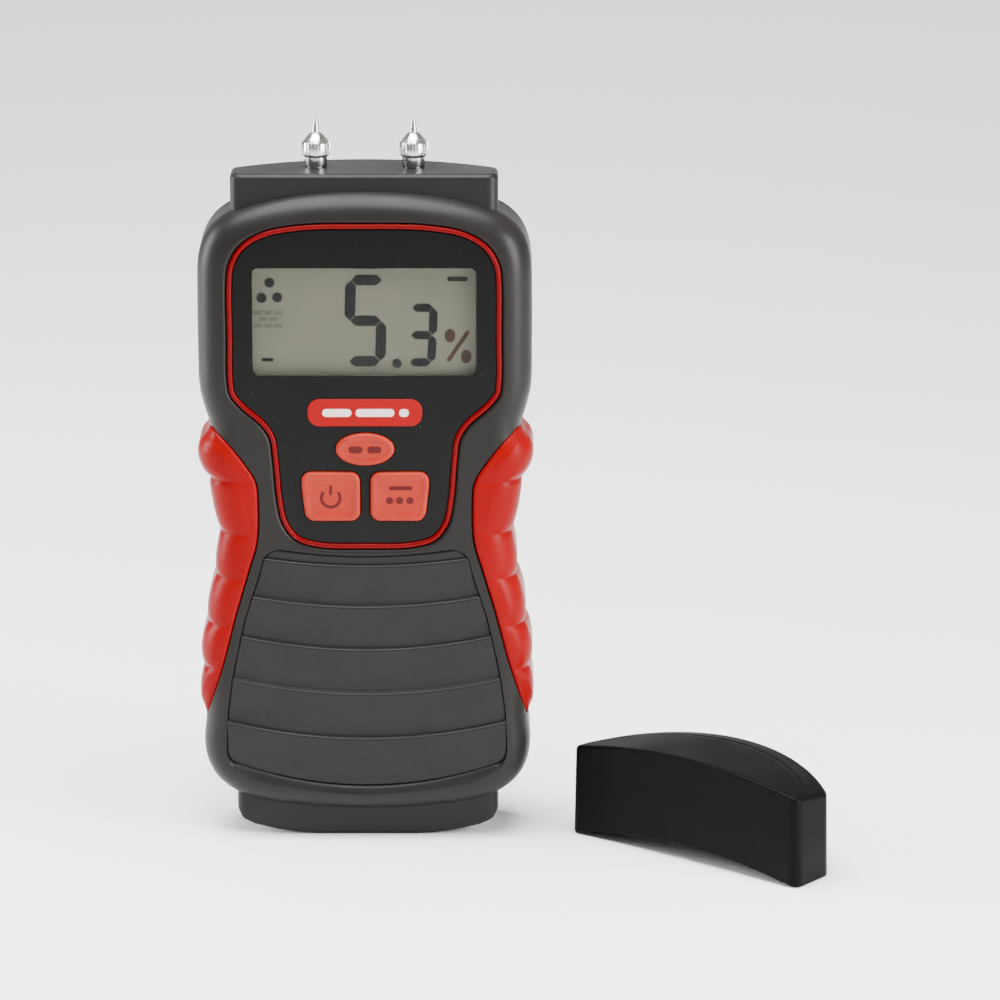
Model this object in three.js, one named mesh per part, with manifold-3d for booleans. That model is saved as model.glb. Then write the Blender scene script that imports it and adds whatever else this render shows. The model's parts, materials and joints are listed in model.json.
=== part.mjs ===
// Pin-type moisture meter with its loose pin cap, built as separate pieces.
// Millimetres. +Z runs up the meter towards the pins, the display faces -Y, and the origin is
// the middle of the flat under the foot.
import * as THREE from "three";
import { mergeVertices } from "three/addons/utils/BufferGeometryUtils.js";
import Module from "manifold-3d";

const wasm = await Module();
wasm.setup();

// ---- driving dimensions -------------------------------------------------------------------
const FRONT = 12; // display side of the housing, measured from y = 0
const BACK = 14; // crown of the domed back
const BACK_RADIUS = 55; // radius of the domed back
const EDGE = 5.5; // fillet round both faces of the housing
const WALL = 2;
const SPLIT = 2; // plane on which the two covers meet
const SEAM = 0.1; // half the gap between the two covers
const CLEAR = 0.15; // gap round an inlaid piece

const COLLAR = { half: 24.9, front: 8, back: 7.8, radius: 42.3, top: 128.4, corner: 2 };
const FASCIA = { front: 11.6, back: 10.8, floor: 10.7, trimFront: 12.1 };
const CAVITY = { headFront: 9.4, handleFront: 7.6, back: BACK - WALL };
const NECK_Z = 82; // height at which the deep head cavity meets the handle's
const GRIP_DEPTH = 2.2; // thickness of the side grips
const PAD = { front: 12.2, back: 10.6, floor: 10.5, rib: 0.55 };

const WINDOW = { z: 101.2, width: 41.4, height: 20.4, corner: 0.8 };
const LCD = { half: 21.4, front: -9.1, back: -6.7, bottom: 89.9, top: 112.6 };
const LCD_FRAME = { width: 45.2, height: 25.3, z: 101.25, rim: 1.05, front: -9.3 };
const STRIP_TOP = 91.9; // the rubber connector strip under the glass ends here
const KEY = { z: 67.9, x: 6.45, width: 11, height: 9.4, corner: 1.8, front: 12.6 };
const OVAL = { z: 77, width: 11, height: 6.2 };
const KEY_TRAVEL = 1;
const KEY_ROOT = -7; // back of a key's cap and of its flange
const PILL = { x: 2.5, z: 1.8 }; // half sizes of the contact block behind a key
const MAT = { width: 26, height: 16, corner: 2, z: 73.8, thickness: 0.7 };
const BADGE = { z: 84, width: 21.4, height: 5.2, front: 11.95, back: 11.65 };

const BOARD = { front: 5, back: 3.4, bottom: 65.4, top: 119, headHalf: 21.6, keyHalf: 20.5 };
const CHIP = { left: -13, right: -3, bottom: 88, top: 98, depth: 1.6 };
const BUZZER = { radius: 6, depth: 4.3, x: 11, z: 76 };
const CAPACITOR = { radius: 2.5, depth: 5.7, x: -12, z: 78 };
const LEAD_CONNECTOR = { half: 4, depth: 2.4, bottom: 71.3, top: 75 };
const PARTS_FACE = -3.3; // back of the board, where its parts stand
const PIN = { x: 9.1, radius: 0.7, foot: 124.2, tip: 138.4 };
const POST = { radius: 1.8, bottom: 120.2, top: 131, flange: 2.8, bore: 0.85 };
const POST_HOLE = 1.95;
const BATTERY = { half: 13.25, front: -7.4, back: 10.1, bottom: 12.6, top: 59 };
const BATTERY_MIDDLE = (BATTERY.front + BATTERY.back) / 2;
const TERMINAL = { x: 6.35, bottom: 59.1, top: 61.1, stud: 2.8, socket: 3.6 };
const SNAP = { width: 25, depth: 13, bottom: 61.3, top: 64.3 };
const FOAM = { half: 6, front: 10.3, back: 11.6, bottom: 22, top: 50 };
const DOOR = { half: 15, bottom: 14, top: 64, thickness: 2, corner: 2.5 };
const DOOR_TAB = { x: 8, half: 2, front: 10.3, back: 10.8, reach: 1.2, root: 3 };
const CASE_SCREW = { shank: 1.45, tip: -7, head: 2.6, seat: 4, top: 5.6, hole: 1.6, headHole: 2.8 };
const BOARD_SCREW = { shank: 1, tip: -8.2, head: 2, top: -2.2, hole: 1.1, boardHole: 2.6 };
const CASE_SCREWS = [
  [-26, 111.5],
  [26, 111.5],
  [-20, 15.5],
  [20, 15.5],
];
const BOARD_SCREWS = [
  [-18.6, 116.5],
  [18.6, 116.5],
  [-18, 68],
  [18, 68],
];
const CAP = {
  wall: 1.5,
  gap: 0.2,
  height: 17.2, // wall height, the same all the way along
  arch: 2.9, // rise of the rim and of the crown at mid length
  corner: 1.8, // radius of the upright front corners
  x: 65.5,
  y: -16,
  turn: -39, // degrees about the vertical, as it stands beside the meter
};

// ---- outlines: right-hand half, from the bottom middle to the top middle, as [x, z] -----------
const BODY_HALF = [
  [0, 5.2], [12, 5.8], [20.5, 7], [25.2, 8.8], [28.6, 11.6], [30.4, 15], [31, 18.8],
  [30.6, 23.5], [30.5, 30], [30.4, 37], [29.3, 45], [27.9, 53], [27.2, 60], [27.9, 66],
  [29.3, 72], [29.6, 76], [29.1, 80.4], [30.1, 84], [31, 88], [31.2, 96], [31.2, 106],
  [31, 112.4], [30.1, 116], [28.5, 118.7], [25.9, 120.9], [21, 122.9], [12, 124.8], [0, 125.5],
];
const FOOT_HALF = [
  [0, 0], [9.5, 0], [16, 0.55], [21.6, 1.8], [24.1, 3], [24.9, 4.8], [24.9, 14], [0, 14],
];
const TRIM_HALF = [
  [0, 57.6], [9, 57.9], [13.2, 59.3], [15.6, 62.5], [16.6, 67], [17.3, 75], [17.9, 79],
  [19.6, 81.6], [23, 84.6], [25.1, 87.2], [25.6, 90], [25.6, 99], [25.6, 108], [25.2, 112],
  [23.2, 115.6], [19, 118.3], [12, 119.7], [0, 120],
];
const FASCIA_HALF = [
  [0, 60.2], [8, 60.4], [11.4, 61.4], [13.3, 64.2], [13.9, 68], [14.2, 75.5], [15, 79.2],
  [17.6, 82], [21.6, 85.6], [23.7, 88], [24.2, 90.4], [24.2, 99], [24.2, 108], [23.8, 111.4],
  [21.8, 114.4], [18, 116.6], [12, 117.8], [0, 118.1],
];
const PAD_HALF = [
  [0, 9.6], [10, 10.2], [19, 11.8], [24.3, 13.6], [26.2, 16], [26.5, 20], [26.2, 26], [25, 34],
  [22.8, 44], [20.2, 52], [19, 56], [17.6, 57.4], [15, 57], [8, 56], [0, 55.8],
];
// Front edge of the right-hand grip, from its upper point to its lower point.
const GRIP_EDGE = [
  [28.4, 80.5], [25.6, 78], [22.4, 74], [20.4, 70.5], [20, 65.5], [20.3, 59], [22, 53],
  [24.5, 44.5], [27, 35], [28.9, 29], [30.4, 24.6],
];
// Lobes along the outer side of a grip: [z of the notch below, z of the notch above, bulge].
const GRIP_LOBES = [
  [24.6, 33.8, 0.9], [33.8, 42.4, 0.8], [42.4, 51.7, 0.7], [51.7, 60.4, 0.6],
  [60.4, 70.7, 0.8], [70.7, 80.4, 1.7],
];
// Height of each step of the ribbed pad, at mid width, and how far its ends rise above that.
const PAD_STEPS = [
  [54.6, 0.4], [46.6, 1.5], [38.2, 2.2], [29.5, 3], [20.7, 3.8],
];

// ---- solids -------------------------------------------------------------------------------
function solidOf(geometry) {
  const bare = geometry.clone();
  bare.deleteAttribute("normal");
  bare.deleteAttribute("uv");
  const merged = mergeVertices(bare, 1e-4);
  return new wasm.Manifold(
    new wasm.Mesh({
      numProp: 3,
      vertProperties: new Float32Array(merged.attributes.position.array),
      triVerts: new Uint32Array(merged.index.array),
    }),
  );
}

function geometryOf(solid) {
  const mesh = solid.getMesh();
  const geometry = new THREE.BufferGeometry();
  geometry.setAttribute("position", new THREE.BufferAttribute(mesh.vertProperties.slice(), 3));
  geometry.setIndex(new THREE.BufferAttribute(mesh.triVerts.slice(), 1));
  geometry.computeVertexNormals();
  return geometry;
}

const vectors = (pairs) => pairs.map(([x, y]) => new THREE.Vector2(x, y));

// A closed smooth outline through a right-hand half and its mirror image.
function mirrored(half, count) {
  const left = half.slice(1, -1).reverse().map(([x, z]) => [-x, z]);
  const points = [...half, ...left].map(([x, z]) => new THREE.Vector3(x, z, 0));
  const curve = new THREE.CatmullRomCurve3(points, true, "centripetal");
  curve.arcLengthDivisions = 800;
  return curve.getSpacedPoints(count).slice(0, -1).map((p) => new THREE.Vector2(p.x, p.y));
}

// An outline with straight sides between its points, mirrored to the left.
function mirroredStraight(half) {
  const left = half.filter(([x]) => x > 0).reverse().map(([x, z]) => [-x, z]);
  return vectors([...half, ...left]);
}

// The outline moved inwards by d (outwards when d is negative).
function inset(outline, d) {
  const n = outline.length;
  const turn = THREE.ShapeUtils.isClockWise(outline) ? -1 : 1;
  return outline.map((p, i) => {
    const along = outline[(i + 1) % n].clone().sub(outline[(i + n - 1) % n]).normalize();
    return new THREE.Vector2(p.x - along.y * d * turn, p.y + along.x * d * turn);
  });
}

function roundedBox(width, height, corner, x = 0, z = 0) {
  const shape = new THREE.Shape();
  const [w, h] = [width / 2, height / 2];
  shape.absarc(x + w - corner, z - h + corner, corner, -Math.PI / 2, 0);
  shape.absarc(x + w - corner, z + h - corner, corner, 0, Math.PI / 2);
  shape.absarc(x - w + corner, z + h - corner, corner, Math.PI / 2, Math.PI);
  shape.absarc(x - w + corner, z - h + corner, corner, Math.PI, Math.PI * 1.5);
  return withoutRepeats(shape.getPoints(2));
}

function withoutRepeats(points) {
  return points.filter((p, i) => {
    const before = points[(i + points.length - 1) % points.length];
    return p.distanceTo(before) > 1e-3;
  });
}

function ellipse(width, height, x, z, count = 28) {
  const curve = new THREE.EllipseCurve(x, z, width / 2, height / 2);
  return curve.getPoints(count).slice(0, -1);
}

// An outline in x and z, as thick as the stretch from y = front to y = back.
function plate(outline, front, back, holes = [], edge = 0, segments = 4) {
  const shape = new THREE.Shape(outline);
  shape.holes = holes.map((h) => new THREE.Path(h));
  const geometry = new THREE.ExtrudeGeometry(shape, {
    depth: back - front - 2 * edge,
    bevelEnabled: edge > 0,
    bevelThickness: edge,
    bevelSize: edge,
    bevelOffset: -edge,
    bevelSegments: segments,
  });
  geometry.translate(0, 0, edge);
  geometry.rotateX(Math.PI / 2);
  geometry.translate(0, back, 0);
  return solidOf(geometry);
}

// An outline in x and y, standing from z = bottom to z = top.
function column(outline, bottom, top, holes = [], edge = 0) {
  const shape = new THREE.Shape(outline);
  shape.holes = holes.map((h) => new THREE.Path(h));
  const geometry = new THREE.ExtrudeGeometry(shape, {
    depth: top - bottom - 2 * edge,
    bevelEnabled: edge > 0,
    bevelThickness: edge,
    bevelSize: edge,
    bevelOffset: -edge,
    bevelSegments: 3,
  });
  geometry.translate(0, 0, bottom + edge);
  return solidOf(geometry);
}

function block(x0, x1, y0, y1, z0, z1) {
  const geometry = new THREE.BoxGeometry(x1 - x0, y1 - y0, z1 - z0);
  geometry.translate((x0 + x1) / 2, (y0 + y1) / 2, (z0 + z1) / 2);
  return solidOf(geometry);
}

// A turned piece about a vertical axis, from [radius, z] points that start and end on the axis.
function turnedUp(profile, x, y, segments = 20) {
  const geometry = new THREE.LatheGeometry(vectors(profile), segments);
  geometry.rotateX(Math.PI / 2);
  geometry.translate(x, y, 0);
  return solidOf(geometry);
}

// A turned piece about an axis along y, from [radius, y] points that start and end on the axis.
function turnedDeep(profile, x, z, segments = 16) {
  const geometry = new THREE.LatheGeometry(vectors(profile), segments);
  geometry.translate(x, 0, z);
  return solidOf(geometry);
}

// Everything on the inner side of the domed back, whose crown is at y = crown.
function dome(crown, radius, steps = 16) {
  const half = 36;
  const points = [[half, -30], [-half, -30]];
  for (let i = 0; i <= steps; i++) {
    const x = -half + (2 * half * i) / steps;
    points.push([x, crown - radius + Math.sqrt(radius * radius - x * x)]);
  }
  return column(vectors(points), -10, 150);
}

// Section of the collars: flat in front, domed behind, offset outwards by grow.
function collarSection(grow, corner = COLLAR.corner + Math.max(grow, -1), steps = 10) {
  const half = COLLAR.half + grow;
  const front = -COLLAR.front - grow;
  const radius = COLLAR.radius + grow;
  const centre = COLLAR.back - COLLAR.radius;
  const points = [];
  for (let i = 0; i <= 3; i++) {
    const a = -Math.PI / 2 + (Math.PI / 2) * (i / 3);
    points.push([half - corner + corner * Math.cos(a), front + corner + corner * Math.sin(a)]);
  }
  const last = Math.asin((half - 0.01) / radius);
  for (let i = 0; i <= steps; i++) {
    const a = last - (2 * last * i) / steps;
    points.push([radius * Math.sin(a), centre + radius * Math.cos(a)]);
  }
  for (let i = 0; i <= 3; i++) {
    const a = Math.PI + (Math.PI / 2) * (i / 3);
    points.push([-half + corner + corner * Math.cos(a), front + corner + corner * Math.sin(a)]);
  }
  return vectors(points);
}

// ---- the housing ----------------------------------------------------------------------------
const bodyOutline = mirrored(BODY_HALF, 68);
const outerDome = dome(BACK, BACK_RADIUS);

const topCollar = column(collarSection(0), 112, COLLAR.top, [], 0.9);
const foot = column(collarSection(0), -1, 13)
  .intersect(plate(mirroredStraight(FOOT_HALF), -12, 12));
const housing = plate(bodyOutline, -FRONT, BACK, [], EDGE, 3)
  .intersect(outerDome)
  .add(topCollar)
  .add(foot);

function cavitySolid() {
  const inner = dome(CAVITY.back, BACK_RADIUS - WALL);
  const outline = mirrored(BODY_HALF, 40);
  const head = plate(inset(outline, WALL), -CAVITY.headFront, CAVITY.back, [], 2, 2)
    .intersect(block(-40, 40, -20, 20, NECK_Z, 140));
  const slim = inset(outline, GRIP_DEPTH + WALL + 0.2);
  const handle = plate(slim, -CAVITY.handleFront, CAVITY.back, [], 2.4, 2);
  const collarInside = column(collarSection(-WALL), 114, COLLAR.top - WALL);
  const footLine = FOOT_HALF.map(([x, z]) => [Math.max(0, x - WALL), z + WALL]);
  const footInside = column(collarSection(-WALL), 2.2, 14)
    .intersect(plate(mirroredStraight(footLine), -12, 12));
  return head.add(handle).intersect(inner).add(collarInside).add(footInside);
}

// The space that a side grip takes: mirror is 1 for the right-hand grip and -1 for the left.
function gripRegion(mirror, grow) {
  const edge = new THREE.SplineCurve(vectors(GRIP_EDGE)).getPoints(26);
  const n = edge.length;
  const moved = edge.map((p, i) => {
    const along = edge[Math.min(n - 1, i + 1)].clone().sub(edge[Math.max(0, i - 1)]).normalize();
    return new THREE.Vector2(p.x + along.y * grow, p.y - along.x * grow);
  });
  const [first, last] = [moved[0], moved[n - 1]];
  const outline = [
    new THREE.Vector2(40, first.y + 1.2 + grow),
    new THREE.Vector2(first.x, first.y + grow),
    ...moved.slice(1, -1),
    new THREE.Vector2(last.x, last.y - grow),
    new THREE.Vector2(40, last.y - 1.2 - grow),
  ];
  return plate(outline.map((p) => new THREE.Vector2(p.x * mirror, p.y)), -20, 20);
}

// How far the lobes of a grip stand outside the plain outline at height z.
function lobe(z) {
  const found = GRIP_LOBES.find(([low, high]) => z >= low && z <= high);
  if (!found) return 0;
  const [low, high, bulge] = found;
  return bulge * Math.sin(Math.PI * (z - low) / (high - low)) ** 0.7;
}

// The housing's rounded form again, with the lobes of the grips standing out of its sides.
function lobedForm() {
  const outline = mirrored(BODY_HALF, 132);
  const steps = 3;
  const rings = [];
  for (let i = 0; i <= 2 * steps + 1; i++) {
    const front = i <= steps;
    const a = (Math.PI / 2) * ((front ? steps - i : i - steps - 1) / steps);
    const depth = EDGE * (1 - Math.sin(a));
    rings.push([front ? -FRONT + depth : BACK - depth, EDGE * (1 - Math.cos(a))]);
  }
  return stacked(
    rings.map(([y, d]) => {
      const swell = 1 - d / EDGE;
      const outwards = (p) => p.x + Math.sign(p.x) * swell * lobe(p.y);
      return [y, inset(outline, d).map((p) => new THREE.Vector2(outwards(p), p.y))];
    }),
  );
}

// A closed solid through outlines of equal point counts, given as [y, outline] from front to back.
function stacked(rings) {
  const n = rings[0][1].length;
  const positions = [];
  const faces = [];
  for (const [y, outline] of rings) for (const p of outline) positions.push(p.x, y, p.y);
  for (let r = 0; r + 1 < rings.length; r++)
    for (let i = 0; i < n; i++) {
      const [a, b] = [r * n + i, r * n + ((i + 1) % n)];
      faces.push(a, a + n, b, b, a + n, b + n);
    }
  const last = (rings.length - 1) * n;
  for (const [a, b, c] of THREE.ShapeUtils.triangulateShape(rings[0][1], [])) faces.push(a, b, c);
  for (const [a, b, c] of THREE.ShapeUtils.triangulateShape(rings.at(-1)[1], []))
    faces.push(last + a, last + c, last + b);
  const geometry = new THREE.BufferGeometry();
  geometry.setAttribute("position", new THREE.Float32BufferAttribute(positions, 3));
  geometry.setIndex(faces);
  return solidOf(geometry);
}

const gripOuter = lobedForm().intersect(outerDome);

// What lies under the grips: the housing's form without their thickness.
function gripCore(extra) {
  const depth = GRIP_DEPTH + extra;
  return plate(inset(bodyOutline, depth), -FRONT + depth, BACK - depth, [], EDGE - 2, 3)
    .intersect(dome(BACK - depth, BACK_RADIUS - GRIP_DEPTH));
}

function grip(mirror) {
  return gripOuter.subtract(gripCore(0)).intersect(gripRegion(mirror, 0));
}

const trimOutline = mirrored(TRIM_HALF, 60);
const fasciaOutline = mirrored(FASCIA_HALF, 60);
const padOutline = mirrored(PAD_HALF, 48);
const windowOutline = (grow) =>
  roundedBox(WINDOW.width + 2 * grow, WINDOW.height + 2 * grow, WINDOW.corner + grow, 0, WINDOW.z);

// The two square keys lean in a little at their outer lower corner, as the panel round them does.
function keyOutline(side, grow) {
  const outline = roundedBox(
    KEY.width + 2 * grow, KEY.height + 2 * grow, KEY.corner + grow, side * KEY.x, KEY.z,
  );
  return outline.map((p) => {
    const low = Math.max(0, (KEY.z - p.y) / KEY.height + 0.2);
    const outer = Math.max(0, (side * p.x - KEY.x) / KEY.width);
    return new THREE.Vector2(p.x - side * 2.2 * low * outer, p.y);
  });
}
const ovalOutline = (grow) =>
  ellipse(OVAL.width + 2 * grow, OVAL.height + 2 * grow, 0, OVAL.z);

// Each key's name, its outline, and the middle of the contact block behind it.
const KEYS = [
  ["power_button", (grow) => keyOutline(-1, grow), [-KEY.x, KEY.z + 1]],
  ["mode_button", (grow) => keyOutline(1, grow), [KEY.x, KEY.z + 1]],
  ["hold_button", ovalOutline, [0, OVAL.z]],
];

// Turned bosses for the case screws, hollow, from the wall to the parting plane.
function boss(x, z, outer, from, to) {
  return turnedDeep([[0, from], [outer, from], [outer, to], [0, to]], x, z);
}

function frontCover() {
  let cover = housing.subtract(cavitySolid());
  for (const [x, z] of CASE_SCREWS) {
    const wall = z > 60 ? -CAVITY.headFront : -CAVITY.handleFront;
    cover = cover.add(boss(x, z, 2.9, wall - 1, SPLIT - SEAM).intersect(housing));
  }
  for (const [x, z] of BOARD_SCREWS) {
    const wall = z > NECK_Z ? -CAVITY.headFront : -CAVITY.handleFront;
    cover = cover.add(boss(x, z, 2.2, wall - 1, -BOARD.front - 0.1));
  }
  cover = cover.intersect(block(-50, 50, -30, SPLIT - SEAM, -5, 150));
  for (const mirror of [-1, 1])
    cover = cover.subtract(gripRegion(mirror, CLEAR).subtract(gripCore(0.2)));
  cover = cover
    .subtract(plate(inset(trimOutline, -0.1), -30, -FASCIA.floor))
    .subtract(plate(inset(padOutline, -CLEAR), -30, -PAD.floor))
    .subtract(plate(windowOutline(0.2), -30, 0));
  for (const [, outline] of KEYS) cover = cover.subtract(plate(outline(0.25), -30, -6));
  for (const [x, z] of CASE_SCREWS)
    cover = cover.subtract(boss(x, z, CASE_SCREW.hole, CASE_SCREW.tip - 0.4, 3));
  for (const [x, z] of BOARD_SCREWS)
    cover = cover.subtract(boss(x, z, BOARD_SCREW.hole, BOARD_SCREW.tip - 0.4, 1));
  for (const side of [-1, 1]) cover = cover.subtract(postHole(side));
  return cover;
}

const postHole = (side) =>
  turnedUp([[0, 119], [POST_HOLE, 119], [POST_HOLE, 132], [0, 132]], side * PIN.x, 0);

const doorOutline = (grow) =>
  roundedBox(2 * (DOOR.half + grow), DOOR.top - DOOR.bottom + 2 * grow, DOOR.corner + grow, 0,
    (DOOR.top + DOOR.bottom) / 2);

function rearCover() {
  let cover = housing.subtract(cavitySolid());
  for (const [x, z] of CASE_SCREWS)
    cover = cover.add(boss(x, z, 3.8, SPLIT + SEAM, z > NECK_Z ? 7 : 8).intersect(housing));
  cover = cover.intersect(block(-50, 50, SPLIT + SEAM, 30, -5, 150));
  for (const mirror of [-1, 1])
    cover = cover.subtract(gripRegion(mirror, CLEAR).subtract(gripCore(0.2)));
  cover = cover.subtract(plate(doorOutline(0.25), 3, 30));
  for (const [x, z] of CASE_SCREWS)
    cover = cover
      .subtract(boss(x, z, CASE_SCREW.hole, -1, 30))
      .subtract(boss(x, z, CASE_SCREW.headHole, CASE_SCREW.seat - 0.1, 30));
  return cover;
}

function batteryDoor() {
  const skin = plate(doorOutline(0), 3, 30)
    .intersect(dome(BACK, BACK_RADIUS, 44))
    .subtract(dome(BACK - DOOR.thickness, BACK_RADIUS - DOOR.thickness, 44));
  // Tabs that reach in under the lower edge of the opening, each with a web that joins it on.
  const { front, back, half, reach, root } = DOOR_TAB;
  const tabs = [-DOOR_TAB.x, DOOR_TAB.x].map((x) =>
    block(x - half, x + half, front, back, DOOR.bottom - reach, DOOR.bottom + root)
      .add(block(x - half, x + half, front, 12.6, DOOR.bottom + reach, DOOR.bottom + root)));
  return skin.add(tabs[0]).add(tabs[1]);
}

// ---- display, panel and keys ------------------------------------------------------------------
function fascia() {
  const holes = [windowOutline(0.1), ...KEYS.map(([, outline]) => outline(0.2))];
  return plate(inset(fasciaOutline, 0.08), -FASCIA.front, -FASCIA.back, holes);
}

function key(outline, [x, z]) {
  const capTop = plate(outline(0), -KEY.front, KEY_ROOT - 0.3, [], 0.5, 2);
  const flange = plate(outline(0.45), KEY_ROOT - 0.5, KEY_ROOT + 0.1);
  const rest = -BOARD.front - KEY_TRAVEL - 0.1;
  const pill = block(x - PILL.x, x + PILL.x, KEY_ROOT, rest, z - PILL.z, z + PILL.z);
  return capTop.add(flange).add(pill);
}

function keypadMat() {
  const play = 0.8;
  const holes = KEYS.map(([, , [x, z]]) =>
    roundedBox(2 * PILL.x + play, 2 * PILL.z + play, 0.6, x, z));
  const back = -BOARD.front - 0.1;
  const outline = roundedBox(MAT.width, MAT.height, MAT.corner, 0, MAT.z);
  return plate(outline, back - MAT.thickness, back, holes);
}

function mainBoard() {
  const { headHalf, keyHalf, bottom, top } = BOARD;
  const outline = mirroredStraight([
    [0, bottom], [keyHalf, bottom], [keyHalf, NECK_Z], [headHalf, NECK_Z + 2], [headHalf, top], [0, top],
  ]);
  const size = BOARD_SCREW.boardHole;
  const holes = BOARD_SCREWS.map(([x, z]) => ellipse(size, size, x, z, 12));
  return plate(outline, -BOARD.front, -BOARD.back, holes);
}

// ---- pins -----------------------------------------------------------------------------------
function pinPost(side) {
  return turnedUp([
    [0, POST.bottom], [POST.flange, POST.bottom], [POST.flange, 121.4], [POST.radius, 121.4],
    [POST.radius, POST.top], [POST.bore, POST.top], [POST.bore, 124], [0, 124],
  ], side * PIN.x, 0);
}

function pinNut(side) {
  return turnedUp([
    [1.9, 128.6], [2.1, 128.6], [2.1, 130.5], [2.65, 130.9], [2.65, 133.2], [1.2, 134.9],
    [0.78, 134.9], [0.78, 131.4], [1.9, 131.4], [1.9, 128.6],
  ], side * PIN.x, 0, 16);
}

function pin(side) {
  return turnedUp([
    [0, PIN.foot], [PIN.radius, PIN.foot], [PIN.radius, 135.4], [0.45, 136.8], [0, PIN.tip],
  ], side * PIN.x, 0, 16);
}

function pinCarrier() {
  let carrier = column(roundedSection(13.4, -5, 2.6), 121.5, COLLAR.top - WALL - 0.1);
  for (const side of [-1, 1]) carrier = carrier.subtract(postHole(side));
  return carrier;
}

function roundedSection(half, front, back) {
  return roundedBox(2 * half, back - front, 1.5, 0, (front + back) / 2);
}

// A bent strip from under a pin's post down to the back of the board.
function pinContact(side) {
  const profile = vectors([
    [-3.3, 112], [-2.9, 112], [-2.9, 119.5], [2.4, 119.5], [2.4, 119.9], [-3.3, 119.9],
  ]);
  const strip = { depth: 3, bevelEnabled: false };
  const geometry = new THREE.ExtrudeGeometry(new THREE.Shape(profile), strip);
  geometry.rotateY(Math.PI / 2);
  geometry.rotateX(Math.PI / 2);
  geometry.translate(side * PIN.x - 1.5, 0, 0);
  return solidOf(geometry);
}

// ---- battery and wiring ---------------------------------------------------------------------
function battery() {
  const { half, front, back, bottom, top } = BATTERY;
  return column(roundedBox(2 * half, back - front, 2, 0, (front + back) / 2), bottom, top);
}

function batterySnap() {
  return column(roundedBox(SNAP.width, SNAP.depth, 3, 0, BATTERY_MIDDLE), SNAP.bottom, SNAP.top);
}

function terminal(side, radius, sides) {
  const { x, bottom, top } = TERMINAL;
  const profile = [[0, bottom], [radius, bottom], [radius, top], [0, top]];
  return turnedUp(profile, side * x, BATTERY_MIDDLE, sides);
}

// A short wire from the snap connector to the connector block on the board.
function batteryLead(side) {
  const extrudePath = new THREE.CatmullRomCurve3([
    [side * 5, -1.2, 64.4], [side * 4.8, -1.4, 65.8], [side * 3.6, -1.8, 67.6],
    [side * 2.2, -2.1, 69.2], [side * 1.8, -2.1, 71],
  ].map((p) => new THREE.Vector3(...p)));
  const section = new THREE.Shape(ellipse(1.3, 1.3, 0, 0, 8));
  return solidOf(new THREE.ExtrudeGeometry(section, { steps: 9, bevelEnabled: false, extrudePath }));
}

// ---- the loose cap ----------------------------------------------------------------------------
function pinCap() {
  const grow = CAP.gap + CAP.wall;
  const arch = (rise, base, half) => {
    const points = [];
    for (let i = 0; i <= 16; i++) {
      const x = -half + (2 * half * i) / 16;
      points.push([x, base + rise * (1 - (x / (COLLAR.half + grow)) ** 2)]);
    }
    return points;
  };
  const half = COLLAR.half + grow + 1;
  const band = (low, high) => {
    const rim = arch(CAP.arch, low, half);
    const crown = arch(CAP.arch, high, half);
    return plate(vectors([...rim, ...crown.reverse()]), -30, 30);
  };
  const outside = column(collarSection(grow, CAP.corner), -10, 40).intersect(band(0, CAP.height));
  const inside = column(collarSection(CAP.gap), -20, 50).intersect(band(-15, CAP.height - 1.6));
  return outside.subtract(inside);
}

function placedCap() {
  const geometry = geometryOf(pinCap());
  geometry.rotateZ(THREE.MathUtils.degToRad(CAP.turn));
  geometry.translate(CAP.x, CAP.y, 0.03);
  return geometry;
}

// ---- materials --------------------------------------------------------------------------------
const material = (color, roughness, metalness = 0, opacity = 1) =>
  new THREE.MeshStandardMaterial({ color, roughness, metalness, opacity, transparent: opacity < 1 });
const charcoal = material(0x4a4a4a, 0.55);
const softGrey = material(0x444342, 0.7);
const black = material(0x1d1e1f, 0.3);
const capBlack = material(0x262625, 0.6);
const red = material(0xd31420, 0.5);
const trimRed = material(0xb01c28, 0.4);
const keyRed = material(0xe0584a, 0.5);
const nickel = material(0xc9c9c6, 0.25, 1);
const steel = material(0x9a9a9c, 0.35, 1);
const lcdGrey = material(0xa3a294, 0.35);
const clear = material(0xffffff, 0.05, 0, 0.2);
const boardGreen = material(0x1f5a35, 0.5);
const chipBlack = material(0x151515, 0.5);
const whitePlastic = material(0xd8d8d2, 0.5);
const foamGrey = material(0x55565a, 0.95);
const wireRed = material(0xc01818, 0.5);

// ---- assembly ---------------------------------------------------------------------------------
const meter = new THREE.Group();

function put(name, solid, finish) {
  const geometry = solid.isBufferGeometry ? solid : geometryOf(solid);
  const mesh = new THREE.Mesh(geometry, finish);
  mesh.name = name;
  meter.add(mesh);
}

function badge() {
  const outline = roundedBox(BADGE.width, BADGE.height, 2.2, 0, BADGE.z);
  return plate(outline, -BADGE.front, -BADGE.back);
}

// The layer between the display glass and the board, from one height to another.
function behindGlass(low, high) {
  return block(-LCD.half + 0.2, LCD.half - 0.2, LCD.back + 0.1, -BOARD.front - 0.1, low, high);
}

function displayFrame() {
  const { width, height, z, rim, front } = LCD_FRAME;
  const hole = roundedBox(width - 2 * rim, height - 2 * rim, 0.5, 0, z);
  return plate(roundedBox(width, height, 1.5, 0, z), front, -BOARD.front - 0.1, [hole]);
}

// A block standing on the back of the board.
function onBoard(left, right, height, low, high) {
  return block(left, right, PARTS_FACE, PARTS_FACE + height, low, high);
}

// A round can standing on the back of the board.
function canOnBoard({ radius, depth: height, x, z }, sides) {
  const end = PARTS_FACE + height;
  return turnedDeep([[0, PARTS_FACE], [radius, PARTS_FACE], [radius, end], [0, end]], x, z, sides);
}

function screw({ shank, tip, head, top: end }, seat, [x, z], sides) {
  const profile = [[0, tip], [shank, tip], [shank, seat], [head, seat], [head, end], [0, end]];
  return turnedDeep(profile, x, z, sides);
}

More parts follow.
